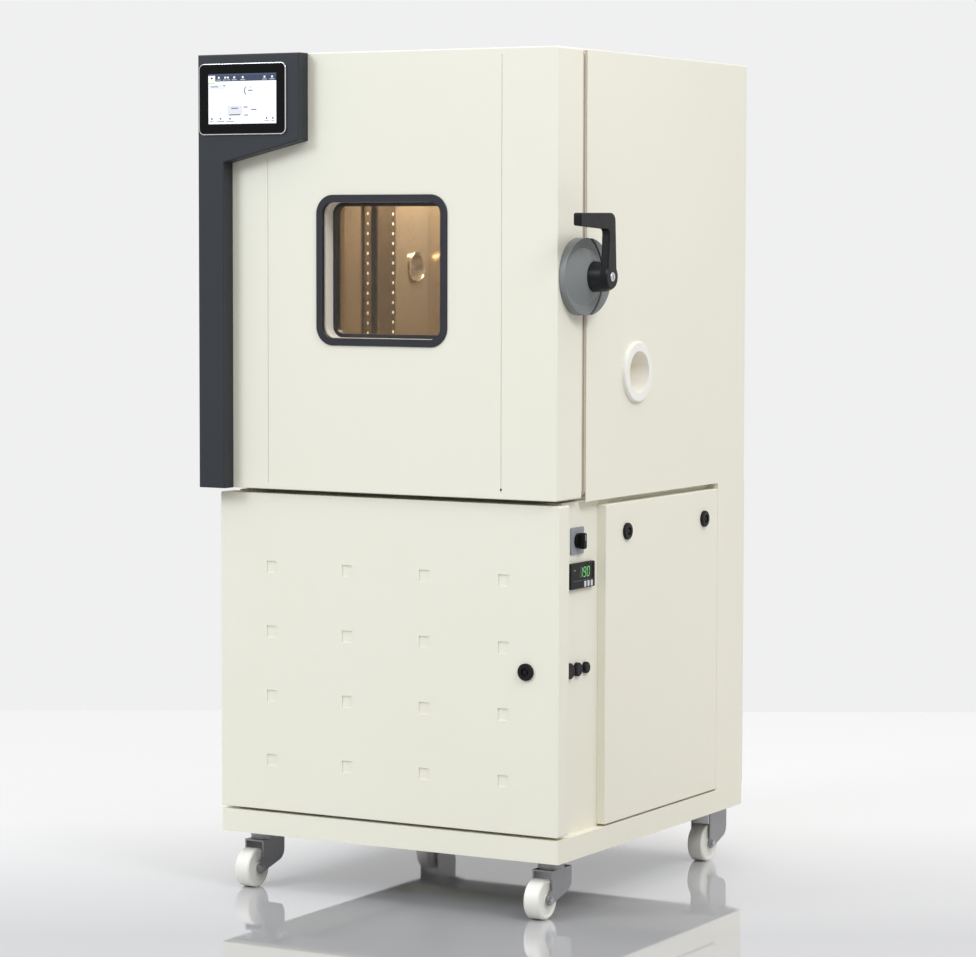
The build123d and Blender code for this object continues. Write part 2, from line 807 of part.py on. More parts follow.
def door_middle_z():
    return (door_z0 + door_z1) / 2


def window_opening(grow):
    return RectangleRounded(window_width + 2 * grow, window_height + 2 * grow, window_radius + grow)


def door_shell():
    height = door_z1 - door_z0
    z = door_middle_z()
    outer = along_y(RectangleRounded(body_width, height, edge_radius), door_front_y, door_back_y, 0, z)
    outer = fillet(outer.faces().sort_by(Axis.Y)[0].edges(), 2)
    inner = box(door_sheet - half, half - door_sheet, door_front_y + door_sheet, door_back_y + 1,
                door_z0 + door_sheet, door_z1 - door_sheet)
    shell = outer - inner
    collar = window_opening(window_wall + seat_gap)
    shell -= along_y(collar, door_front_y - 1, door_front_y + 10, window_x, window_z)
    for x in (-groove_x, groove_x):
        shell -= box(
            x - groove_width / 2, x + groove_width / 2, door_front_y - 1, door_front_y + groove_depth,
            door_z0 + groove_end, door_z1 - groove_end)
    shell -= rod_x(spindle_diameter + 8, half - 10, half + 1, closer_y, closer_z)
    return shell


def door_core():
    block = box(door_sheet - half, half - door_sheet, door_front_y + door_sheet, door_back_y - sheet,
                door_z0 + door_sheet, door_z1 - door_sheet)
    block -= along_y(window_opening(window_wall + seat_gap), door_front_y, door_back_y, window_x, window_z)
    step_y = door_front_y + window_front_depth + 8
    block -= along_y(window_opening(window_flare + 3), step_y, door_back_y + 1, window_x, window_z)
    block -= rod_x(spindle_diameter + 8, half - 30, half, closer_y, closer_z)
    return block


def door_liner():
    z = door_middle_z()
    edge = door_sheet + seat_gap
    plate = along_y(Rectangle(body_width - 2 * edge, door_z1 - door_z0 - 2 * edge), door_back_y - sheet,
                    door_back_y, 0, z)
    plug_w = liner_width - 2 * plug_margin
    plug_h = liner_height - 2 * plug_margin
    liner_mid = (liner_z0 + liner_z1) / 2
    with BuildPart() as plug:
        with BuildSketch(Plane.XZ.offset(-door_back_y)):
            with Locations((0, liner_mid)):
                RectangleRounded(plug_w, plug_h, 20)
        extrude(amount=-plug_step, taper=12)
    plate += plug.part
    flare = along_y(window_opening(window_flare + sheet), tube_start(), door_back_y, window_x, window_z)
    plate += flare
    flare = window_opening(window_flare)
    return plate - along_y(flare, tube_start() - 1, door_back_y + plug_step + 1, window_x, window_z)


def tube_start():
    return door_front_y + window_front_depth + 14 + seat_gap


def window_frame():
    front = door_front_y - window_proud
    ring = along_y(window_opening(window_rim), front, door_front_y, window_x, window_z)
    ring = chamfer(ring.faces().sort_by(Axis.Y)[0].edges(), 1)
    back = door_front_y + window_collar
    ring += along_y(window_opening(window_wall), door_front_y, back, window_x, window_z)
    return ring - along_y(window_opening(0), front - 1, back + 1, window_x, window_z)


def window_tunnel():
    y0 = door_front_y + window_collar + pane_thick + 2 * seat_gap
    y1 = door_front_y + window_front_depth
    wall = window_opening(window_wall) - window_opening(0)
    return along_y(wall, y0, y1, window_x, window_z)


def window_inner_frame():
    y0 = door_front_y + window_front_depth + seat_gap
    y1 = y0 + 7.5
    y2 = door_front_y + window_front_depth + 14
    ring = along_y(window_opening(window_wall), y0, y1, window_x, window_z)
    ring += along_y(window_opening(window_flare + 2), y1 + 0.5, y2, window_x, window_z)
    ring += along_y(window_opening(window_wall), y1, y1 + 0.5, window_x, window_z)
    return ring - along_y(window_opening(-window_throat), y0 - 1, y2 + 1, window_x, window_z)


def window_panes():
    front = door_front_y + window_collar + seat_gap
    middle = tube_start()
    back = door_back_y - 8 - pane_thick
    small = window_opening(window_wall)
    large = window_opening(window_flare - seat_gap)
    return Compound([
        along_y(small, front, front + pane_thick, window_x, window_z),
        along_y(large, middle, middle + pane_thick, window_x, window_z),
        along_y(large, back, back + pane_thick, window_x, window_z),
    ])


def control_column():
    left = -half - column_overhang
    right = left + column_width
    head_right = left + column_head_width
    head_z = door_z1 - column_head_height
    outline = polygon(
        (left, door_z0), (right, door_z0), (right, head_z - column_slope), (head_right, head_z),
        (head_right, door_z1), (left, door_z1),
    )
    body = along_y(outline, column_y, door_front_y)
    body = fillet(body.faces().sort_by(Axis.Y)[0].edges(), 2.5)
    pocket = Rectangle(display_width - 20, display_height - 20)
    return body - along_y(pocket, column_y - 1, door_front_y - 5, display_x, display_z)


def display_unit():
    front = column_y - display_proud
    body = along_y(RectangleRounded(display_width, display_height, display_radius), front, column_y,
                   display_x, display_z)
    body = fillet(body.faces().sort_by(Axis.Y)[0].edges(), 1.5)
    inside = Rectangle(display_width - 20 - 2 * seat_gap, display_height - 20 - 2 * seat_gap)
    body += along_y(inside, column_y, door_front_y - 6, display_x, display_z)
    face = RectangleRounded(display_width - 2 * display_rim, display_height - 2 * display_rim,
                            display_radius - display_rim)
    return body - along_y(face, front - 1, front + 2, display_x, display_z)


def display_glass():
    front = column_y - display_proud
    size = display_rim + 0.2
    face = RectangleRounded(display_width - 2 * size, display_height - 2 * size, display_radius - size)
    return along_y(face, front + 0.2, front + 2, display_x, display_z)


def hinge_leaf(z, outer):
    # outer knuckles belong to the cabinet, the middle one to the door
    r = knuckle_diameter / 2
    third = knuckle_height / 2
    spans = ((z - 3 * third, z - third - seat_gap), (z + third + seat_gap, z + 3 * third)) if outer else (
        (z - third, z + third),)
    x0 = -half - hinge_leaf_thick
    if outer:
        y0, y1 = upper_front_y + 4, upper_front_y + 58
    else:
        y0, y1 = door_back_y - 60, door_back_y - 4
    piece = None
    for z0, z1 in spans:
        knuckle = rod_z(knuckle_diameter, z0, z1, hinge_axis_x, hinge_axis_y)
        if outer:
            arm = box(hinge_axis_x - 2, -half - 0.5, hinge_axis_y + 2, y0 + 4, z0, z1)
        else:
            arm = box(hinge_axis_x - 2, -half - 0.5, y1 - 4, hinge_axis_y - 2, z0, z1)
        part = knuckle + arm
        piece = part if piece is None else piece + part
    plate = box(x0, -half, y0, y1, z - 3 * third, z + 3 * third)
    if outer:
        piece += plate
        piece += rod_z(hinge_pin_diameter, z - 3 * third, z + 3 * third, hinge_axis_x, hinge_axis_y)
        return piece
    plate = box(x0, -half, y0, y1, z - third, z + third)
    piece += plate
    bore_diameter = hinge_pin_diameter + 2 * run_gap
    return piece - rod_z(bore_diameter, z - third - 1, z + third + 1, hinge_axis_x, hinge_axis_y)


def cabinet_hinges():
    pieces = [hinge_leaf(z, True) for z in hinge_heights]
    # frame half of the front panel hinges
    x = -recess_x
    d = panel_knuckle_diameter
    for z in panel_hinge_heights:
        h = panel_knuckle_height / 2
        leaf = box(x - 3, x, panel_hinge_y - 2, panel_hinge_y + 34, z - 3 * h, z + 3 * h)
        piece = leaf
        for z0, z1 in ((z - 3 * h, z - h), (z + h, z + 3 * h)):
            piece += rod_z(d, z0, z1, panel_hinge_x, panel_hinge_y)
            piece += box(panel_hinge_x, x, panel_hinge_y, panel_hinge_y + d / 2, z0, z1)
        cut = box(x - 4, x + 1, panel_hinge_y - 8, panel_hinge_y + 9, z - h, z + h)
        piece -= cut
        piece += rod_z(d / 2, z - 3 * h, z + 3 * h, panel_hinge_x, panel_hinge_y)
        pieces.append(piece)
    return Compound(pieces)


# Door closer. Its own x is the height over the door's side, its centre is the spindle.

def closer_form():
    span = closer_radius + 1
    slope = (closer_back - closer_rim) / (2 * closer_radius)
    low = closer_rim - slope
    high = closer_back + slope
    wedge = along_z(polygon((0, -span), (low, -span), (high, span), (0, span)), -span, span)
    cone_foot = closer_rim - 1
    cone = Pos((cone_foot + closer_hub_height) / 2, 0, 0) * Rot(0, 90, 0) * Cone(
        closer_radius, hub_diameter / 2 + 1, closer_hub_height - cone_foot)
    drum = rod_x(2 * closer_radius, 0, closer_back + 8, 0, 0)
    form = (wedge + cone) & drum
    return form - rod_x(2 * (closer_radius - closer_wall), -1, closer_hollow, 0, 0)


def split_drum(radius):
    return rod_x(2 * radius, -1, closer_back + 20, -split_offset, 0)


def at_closer(solid):
    return Pos(half, closer_y, closer_z) * solid


def closer_plate():
    form = closer_form() & split_drum(split_radius - split_gap / 2)
    form -= rod_x(spindle_diameter + 2 * run_gap, -1, 60, 0, 0)
    # stays clear of the cabinet's side
    form -= box(-1, 1, door_back_y - closer_y + 1, 100, -100, 100)
    return at_closer(form)


def closer_keeper():
    form = closer_form() - split_drum(split_radius + split_gap / 2)
    form -= box(-1, 1, -100, upper_front_y - closer_y - 1, -100, 100)
    # the pin the hook takes hold of, a rod that butts on the cover's inner face
    y, z = catch_place()
    pin = rod_x(catch_pin_diameter, 0, closer_hollow, y, z)
    return at_closer(Compound([form.solid(), pin.solid()]))


def catch_place():
    below = radians(20)
    return catch_radius * cos(below), -catch_radius * sin(below)


def sector(radius, start, end):
    # angles from straight down, positive to the back
    points = [(0, 0)]
    steps = 6
    reach = radius / cos(radians((end - start) / steps / 2))
    for step in range(steps + 1):
        angle = radians(start + (end - start) * step / steps)
        points.append((reach * sin(angle), -reach * cos(angle)))
    return polygon(*points)


def latch_hook():
    hub = rod_x(30, 3, 3 + hook_thick, 0, 0)
    wide = along_x(sector(hook_outer + 5, -45, 5), 3, 3 + hook_thick) & rod_x(2 * hook_outer, 0, 20, 0, 0)
    # the slot that takes the keeper's pin, open at the leading edge
    ring = along_x(Circle(hook_slot_out) - Circle(hook_slot_in), 0, 20)
    slot = ring & along_x(sector(hook_outer + 10, -32, 12), 0, 20)
    hook = hub + wide - slot
    hook += rod_x(spindle_diameter, 1, hub_start(), 0, 0)
    return at_closer(hook)


def hub_start():
    return closer_hub_height + 0.6


def lever_outline():
    w = lever_width / 2
    outline = polygon(
        (-w - lever_root_extra, 0), (-w, grip_bottom), (-grip_reach, grip_end_bottom),
        (-grip_reach, grip_top - 1), (w, grip_top), (w + lever_root_extra, 0),
    )
    outline = fillet([outline.vertices().sort_by_distance((-w, grip_bottom))[0]], 10)
    outline = fillet([outline.vertices().sort_by_distance((w, grip_top))[0]], 16)
    tips = [outline.vertices().sort_by_distance((-grip_reach, z))[0] for z in (grip_end_bottom, grip_top - 1)]
    return fillet(tips, 4)


def door_lever():
    r = hub_diameter / 2
    cap = cap_diameter / 2
    start = hub_start()
    with BuildSketch(Plane.XY) as section:
        with BuildLine():
            Polyline((start, 0), (start, r), (hub_top - 12, r - 1), (hub_top - 3, cap + 2.5),
                     (hub_top, cap), (hub_top, 0), close=True)
        make_face()
    hub = revolve(section.sketch, Axis.X)
    bar = along_x(lever_outline(), hub_top - lever_thick, hub_top)
    long_edges = bar.faces().filter_by(Axis.X).edges()
    bar = fillet(long_edges, 3)
    lever = hub + bar
    lever -= rod_x(lock_button_diameter + 2 * run_gap, hub_top - 10, hub_top + 1, 0, 0)
    return at_closer(lever)


def lever_lock():
    button = rod_x(lock_button_diameter, hub_top - 10 + seat_gap, hub_top + 1.5, 0, 0)
    button = chamfer(button.faces().sort_by(Axis.X)[-1].edges(), 0.8)
    return at_closer(button - along_x(Rectangle(2, 9), hub_top - 2, hub_top + 3))


# Machinery in the lower cabinet

def compressor():
    # welded pot on a foot plate with four rubber feet
    r = compressor_diameter / 2
    h = compressor_height
    z0 = base_z1 + 12
    section = Plane.XZ * polygon((0, 0), (r - 12, 0), (r, 22), (r, h - 50), (r - 22, h - 14), (0, h))
    pot = Pos(compressor_x, compressor_y, z0) * revolve(section, Axis.Z)
    reach = compressor_foot / 2
    foot = box(
        compressor_x - reach, compressor_x + reach, compressor_y - reach, compressor_y + reach,
        z0 - 4, z0 + 1)
    spread = reach - 15
    for x in (-spread, spread):
        for y in (-spread, spread):
            foot += rod_z(24, base_z1, z0 - 4, compressor_x + x, compressor_y + y)
    return pot + foot


def condenser():
    # finned block on two end plates, with the fan's shroud and motor in front
    reach = condenser_width / 2
    y0, y1 = condenser_y0, condenser_y1
    end = 3
    block = box(condenser_x - reach, condenser_x + reach, y0, y1, base_z1 + 30, base_z1 + condenser_height)
    slot_pitch = 28
    slots = [Pos(condenser_x + slot_pitch * (index - 4.5), (y0 + y1) / 2, condenser_fan_z)
             * Box(12, condenser_depth + 10, condenser_height - 60) for index in range(10)]
    block -= slots
    for x in (condenser_x - reach, condenser_x + reach - end):
        block += box(x, x + end, y0, y1, base_z1, base_z1 + condenser_height)
    front = y0 - shroud_depth
    block += rod_y(condenser_fan_diameter + 24, front, y0, condenser_x, condenser_fan_z)
    block -= rod_y(condenser_fan_diameter + 8, front - 1, y0 - 1, condenser_x, condenser_fan_z)
    across = condenser_fan_diameter / 2 + 8
    spider = box(
        condenser_x - 3, condenser_x + 3, front, front + 4,
        condenser_fan_z - across, condenser_fan_z + across)
    spider += rod_y(60, front - 30, front + 4, condenser_x, condenser_fan_z)
    spider -= rod_y(fan_shaft_diameter + 2 * run_gap, front - 16, front + 5, condenser_x, condenser_fan_z)
    return block + spider


def condenser_fan():
    front = condenser_y0 - shroud_depth
    fan = rod_y(56, front + 6, front + 22, condenser_x, condenser_fan_z)
    fan += rod_y(fan_shaft_diameter, front - 15, front + 6, condenser_x, condenser_fan_z)
    blade = Box(condenser_fan_diameter * 0.38, 2, 42)
    blade = Pos(condenser_fan_diameter * 0.29, 0, 0) * Rot(28, 0, 0) * blade
    keep = rod_y(condenser_fan_diameter, front + 5, front + 27, condenser_x, condenser_fan_z)
    for turn in range(5):
        fan += (Pos(condenser_x, front + 15, condenser_fan_z) * Rot(0, turn * 72, 0) * blade) & keep
    return fan


def electrical_box():
    # cabinet with a lid on two feet
    z0 = base_z1 + box_rise
    x0, x1 = box_x - box_width / 2, box_x + box_width / 2
    y0, y1 = box_front_y, box_front_y + box_depth
    case = box(x0, x1, y0, y1, z0, z0 + box_height)
    case = chamfer(case.edges().filter_by(Axis.Z), 3)
    case += box(x0 + 6, x1 - 6, y0 - 4, y0, z0 + 6, z0 + box_height - 6)
    for x in (x0 + 10, x1 - 30):
        case += box(x, x + 20, y0 + 10, y1 - 10, base_z1, z0)
    return case


def receiver():
    z0 = base_z1 + 14
    tank = rod_z(receiver_diameter, z0, z0 + receiver_height, receiver_x, receiver_y)
    tank = chamfer(tank.faces().sort_by(Axis.Z)[-1].edges(), 12)
    reach = receiver_diameter / 2 + 5
    foot = box(
        receiver_x - reach, receiver_x + reach, receiver_y - 35, receiver_y + 35, base_z1, z0 + 2)
    return tank + foot


def build_all():
    parts.update({
        "base_tray": base_tray(),
        "caster_plates": caster_plates(),
        "rear_caster_forks": fixed_forks(),
        "left_caster_fork": swivel_fork(-1),
        "right_caster_fork": swivel_fork(1),
        "lower_frame": lower_frame(),
        "recess_strips": recess_strips(),
        "front_panel": front_panel(),
        "left_side_panel": side_panel(-1),
        "right_side_panel": side_panel(1),
        "front_panel_lock": front_lock(),
        "rear_panel": rear_panel(),
        "cable_gland": cable_gland(),
        "switch_plate": switch_plate(),
        "switch_knob": switch_knob(),
        "limit_controller": controller(),
        "blanking_plugs": blanking_plugs(),
        "upper_casing": upper_casing(),
        "body_insulation": foam(),
        "chamber_liner": chamber_liner(),
        "door_seal": door_seal(),
        "right_cable_port": cable_port(1, port_y, port_z, port_bore, port_flange, 12),
        "left_cable_port": cable_port(-1, small_port_y, small_port_z, small_port_bore, small_port_flange, 10),
        "air_baffle": air_baffle(),
        "circulation_fan": circulation_fan(),
        "fan_motor": fan_motor(),
        "evaporator": evaporator(),
        "shelf_rails": shelf_rails(),
        "wire_shelf": wire_shelf(),
        "door_shell": door_shell(),
        "door_insulation": door_core(),
        "door_liner": door_liner(),
        "window_frame": window_frame(),
        "window_tunnel": window_tunnel(),
        "window_inner_frame": window_inner_frame(),
        "window_panes": window_panes(),
        "control_column": control_column(),
        "display_unit": display_unit(),
        "display_glass": display_glass(),
        "door_hinge_leaves": Compound([hinge_leaf(z, False) for z in hinge_heights]),
        "cabinet_hinges": cabinet_hinges(),
        "closer_plate": closer_plate(),
        "closer_keeper": closer_keeper(),
        "latch_hook": latch_hook(),
        "door_lever": door_lever(),
        "lever_lock": lever_lock(),
        "compressor": compressor(),
        "condenser": condenser(),
        "condenser_fan": condenser_fan(),
        "electrical_box": electrical_box(),
        "liquid_receiver": receiver(),
    })
    for name, y in zip(("front", "rear"), (front_axle_y, rear_axle_y)):
        for side, x in (("left", -caster_x), ("right", caster_x)):
            parts[f"{name}_{side}_wheel"] = wheel(x, y)
    for name, y in zip(("front", "rear"), side_lock_ys):
        parts[f"side_lock_{name}"] = side_lock(y)
    for index, name in enumerate(("down", "up", "set")):
        parts[f"controller_key_{name}"] = controller_key(index)


build_all()
boxes = [part.bounding_box() for part in parts.values()]
middle_x = (min(b.min.X for b in boxes) + max(b.max.X for b in boxes)) / 2
middle_y = (min(b.min.Y for b in boxes) + max(b.max.Y for b in boxes)) / 2
os.makedirs("parts", exist_ok=True)
for name, part in parts.items():
    export_step(Pos(-middle_x, -middle_y, 0) * part, f"parts/{name}.step")
print(f"{len(parts)} parts, shifted by {-middle_x:.3f}, {-middle_y:.3f}")
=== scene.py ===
import bpy
import bmesh
import math
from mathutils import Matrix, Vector


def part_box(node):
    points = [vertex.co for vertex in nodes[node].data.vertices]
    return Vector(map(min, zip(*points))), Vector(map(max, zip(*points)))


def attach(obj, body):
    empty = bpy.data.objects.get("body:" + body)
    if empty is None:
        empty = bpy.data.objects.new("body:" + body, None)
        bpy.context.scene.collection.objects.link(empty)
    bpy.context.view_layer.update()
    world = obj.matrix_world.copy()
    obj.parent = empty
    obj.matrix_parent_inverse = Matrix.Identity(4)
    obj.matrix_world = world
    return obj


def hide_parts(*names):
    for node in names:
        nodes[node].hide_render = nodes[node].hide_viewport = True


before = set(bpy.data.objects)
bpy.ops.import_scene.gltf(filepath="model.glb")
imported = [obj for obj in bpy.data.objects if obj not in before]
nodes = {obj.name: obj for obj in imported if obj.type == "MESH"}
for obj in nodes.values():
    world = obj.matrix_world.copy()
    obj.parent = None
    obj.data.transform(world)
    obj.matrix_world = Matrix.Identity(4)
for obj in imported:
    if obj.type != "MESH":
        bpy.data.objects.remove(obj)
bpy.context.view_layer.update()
scene = bpy.context.scene
mm = 0.001
frameParts = {n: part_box(n) for n in nodes}

# the drawing's zero: middle of the front panel, its face and the floor
panelLow, panelHigh = frameParts["front_panel"]
zeroX = (panelLow.x + panelHigh.x) / 2
zeroY = panelLow.y
halfWidth = (panelHigh.x - panelLow.x) / 2 / mm


def at(x, y, z):
    return Vector((zeroX + x * mm, zeroY + y * mm, z * mm))


def drawn(point):
    return ((point.x - zeroX) / mm, (point.y - zeroY) / mm, point.z / mm)


def drawnBox(node):
    return [drawn(point) for point in frameParts[node]]


print("frame loaded:", len(nodes), "nodes")

# materials


def blankMaterial(name):
    mat = bpy.data.materials.new(name)
    mat.use_nodes = True
    shader = mat.node_tree.nodes["Principled BSDF"]
    return mat, mat.node_tree, shader


def addNode(tree, kind, **settings):
    node = tree.nodes.new(kind)
    for key, value in settings.items():
        setattr(node, key, value)
    return node


def setSockets(shader, **values):
    for key, value in values.items():
        shader.inputs[key.replace("_", " ")].default_value = value


def objectCoords(tree):
    return addNode(tree, "ShaderNodeTexCoord").outputs["Object"]


def noise(tree, coords, scale, detail=3.0, rough=0.55, stretch=None):
    if stretch is not None:
        mapping = addNode(tree, "ShaderNodeMapping")
        mapping.inputs["Scale"].default_value = stretch
        tree.links.new(coords, mapping.inputs["Vector"])
        coords = mapping.outputs["Vector"]
    tex = addNode(tree, "ShaderNodeTexNoise")
    tex.inputs["Scale"].default_value = scale
    tex.inputs["Detail"].default_value = detail
    tex.inputs["Roughness"].default_value = rough
    tree.links.new(coords, tex.inputs["Vector"])
    return tex.outputs["Fac"]


def spread(tree, value, low, high, fromLow=0.3, fromHigh=0.7):
    ramp = addNode(tree, "ShaderNodeMapRange")
    for key, number in zip(("From Min", "From Max", "To Min", "To Max"), (fromLow, fromHigh, low, high)):
        ramp.inputs[key].default_value = number
    tree.links.new(value, ramp.inputs["Value"])
    return ramp.outputs["Result"]


def blendColours(tree, factor, first, second):
    mix = addNode(tree, "ShaderNodeMix", data_type="RGBA")
    tree.links.new(factor, mix.inputs["Factor"])
    for socket, colour in ((6, first), (7, second)):
        if isinstance(colour, tuple):
            mix.inputs[socket].default_value = (*colour, 1)
        else:
            tree.links.new(colour, mix.inputs[socket])
    return mix.outputs[2]


def bump(tree, shader, height, strength, distance, below=None):
    node = addNode(tree, "ShaderNodeBump")
    node.inputs["Strength"].default_value = strength
    node.inputs["Distance"].default_value = distance
    tree.links.new(height, node.inputs["Height"])
    if below is not None:
        tree.links.new(below, node.inputs["Normal"])
    tree.links.new(node.outputs["Normal"], shader.inputs["Normal"])
    return node.outputs["Normal"]


def paintedSheet(name, colour, shade, rough=(0.36, 0.46), grain=1400, grainDepth=0.08,
                 wave=9.0, waveDepth=0.02, coat=0.0, gloss=0.4):
    # powder coat: slow cloudy tone, orange peel and a faint wave of the sheet
    mat, tree, shader = blankMaterial(name)
    coords = objectCoords(tree)
    cloud = noise(tree, coords, 2.3, 4.0)
    speck = noise(tree, coords, grain, 2.0)
    tone = blendColours(tree, spread(tree, cloud, 0, 1), colour, shade)
    tone = blendColours(tree, spread(tree, speck, 0, 0.25), tone, shade)
    tree.links.new(tone, shader.inputs["Base Color"])
    tree.links.new(spread(tree, noise(tree, coords, 31, 5.0), *rough), shader.inputs["Roughness"])
    slow = bump(tree, shader, noise(tree, coords, wave, 1.5), waveDepth, 0.004)
    bump(tree, shader, speck, grainDepth, 0.0004, slow)
    setSockets(shader, Coat_Weight=coat, Coat_Roughness=0.2, Specular_IOR_Level=gloss)
    return mat


def paintUndersideShade(mat, colour):
    # faces that look down are painted near black, as painted shade under the base
    tree = mat.node_tree
    shader = tree.nodes["Principled BSDF"]
    paint = shader.inputs["Base Color"].links[0].from_socket
    split = addNode(tree, "ShaderNodeSeparateXYZ")
    tree.links.new(addNode(tree, "ShaderNodeNewGeometry").outputs["True Normal"], split.inputs[0])
    mask = spread(tree, split.outputs["Z"], 1.0, 0.0, -0.9, -0.5)
    tree.links.new(blendColours(tree, mask, paint, colour), shader.inputs["Base Color"])
    return mat


def mouldedPlastic(name, colour, shade, rough=(0.4, 0.52), grain=2600, grainDepth=0.12, gloss=0.3):
    mat, tree, shader = blankMaterial(name)
    coords = objectCoords(tree)
    fine = noise(tree, coords, grain, 2.0)
    cloud = noise(tree, coords, 14, 4.0)
    tree.links.new(blendColours(tree, spread(tree, cloud, 0, 1), colour, shade), shader.inputs["Base Color"])
    tree.links.new(spread(tree, noise(tree, coords, 90, 4.0), *rough), shader.inputs["Roughness"])
    bump(tree, shader, fine, grainDepth, 0.0002)
    setSockets(shader, Specular_IOR_Level=gloss)
    return mat


def brushedSheet(name, colour, shade, rough=(0.2, 0.32), stretch=(60, 60, 2), depth=0.05, scale=14,
                 metal=1.0):
    # drawn lines along one direction, with soft smears
    mat, tree, shader = blankMaterial(name)
    coords = objectCoords(tree)
    lines = noise(tree, coords, scale, 3.0, 0.6, stretch)
    smear = noise(tree, coords, 5, 4.0)
    tree.links.new(blendColours(tree, spread(tree, lines, 0, 1), colour, shade), shader.inputs["Base Color"])
    mixed = addNode(tree, "ShaderNodeMath", operation="ADD")
    tree.links.new(spread(tree, lines, 0, 0.5), mixed.inputs[0])
    tree.links.new(spread(tree, smear, 0, 0.5), mixed.inputs[1])
    tree.links.new(spread(tree, mixed.outputs[0], *rough, 0, 1), shader.inputs["Roughness"])
    bump(tree, shader, lines, depth, 0.0003)
    setSockets(shader, Metallic=metal)
    return mat


def spangledZinc(name, colour, shade):
    mat, tree, shader = blankMaterial(name)
    coords = objectCoords(tree)
    cells = addNode(tree, "ShaderNodeTexVoronoi")
    cells.inputs["Scale"].default_value = 160
    tree.links.new(coords, cells.inputs["Vector"])
    split = addNode(tree, "ShaderNodeSeparateColor")
    tree.links.new(cells.outputs["Color"], split.inputs["Color"])
    tree.links.new(blendColours(tree, spread(tree, split.outputs[0], 0, 1, 0, 1), colour, shade),
                   shader.inputs["Base Color"])
    tree.links.new(spread(tree, split.outputs[1], 0.3, 0.46, 0, 1), shader.inputs["Roughness"])
    bump(tree, shader, noise(tree, coords, 420, 3.0), 0.08, 0.0004)
    setSockets(shader, Metallic=0.9)
    return mat


def clearPane(name, tint, veil, rough=0.03):
    # thin glass: mostly clear, with a faint veil and full gloss
    mat, tree, shader = blankMaterial(name)
    coords = objectCoords(tree)
    tree.links.new(spread(tree, noise(tree, coords, 6, 3.0), rough, rough + 0.02), shader.inputs["Roughness"])
    faint = blendColours(tree, spread(tree, noise(tree, coords, 3, 2.0), 0, 1), tint,
                         tuple(c * 0.97 for c in tint))
    tree.links.new(faint, shader.inputs["Base Color"])
    setSockets(shader, Alpha=veil, IOR=1.5)
    return mat


def fibreFoam(name, colour, shade):
    mat, tree, shader = blankMaterial(name)
    coords = objectCoords(tree)
    cells = addNode(tree, "ShaderNodeTexVoronoi")
    cells.inputs["Scale"].default_value = 700
    tree.links.new(coords, cells.inputs["Vector"])
    tree.links.new(blendColours(tree, spread(tree, cells.outputs["Distance"], 0, 1, 0, 0.7), colour, shade),
                   shader.inputs["Base Color"])
    bump(tree, shader, cells.outputs["Distance"], 0.3, 0.0006)
    setSockets(shader, Roughness=0.85)
    return mat


def glowingInk(name, strength):
    # colours painted on the mesh, lit from behind
    mat, tree, shader = blankMaterial(name)
    ink = addNode(tree, "ShaderNodeAttribute", attribute_name="ink")
    pixels = addNode(tree, "ShaderNodeTexNoise")
    pixels.inputs["Scale"].default_value = 900
    tree.links.new(objectCoords(tree), pixels.inputs["Vector"])
    sparkle = spread(tree, pixels.outputs["Fac"], 0, 0.05)
    soft = blendColours(tree, sparkle, ink.outputs["Color"], (1.0, 1.0, 1.0))
    tree.links.new(soft, shader.inputs["Base Color"])
    tree.links.new(soft, shader.inputs["Emission Color"])
    setSockets(shader, Emission_Strength=strength, Roughness=0.25)
    return mat


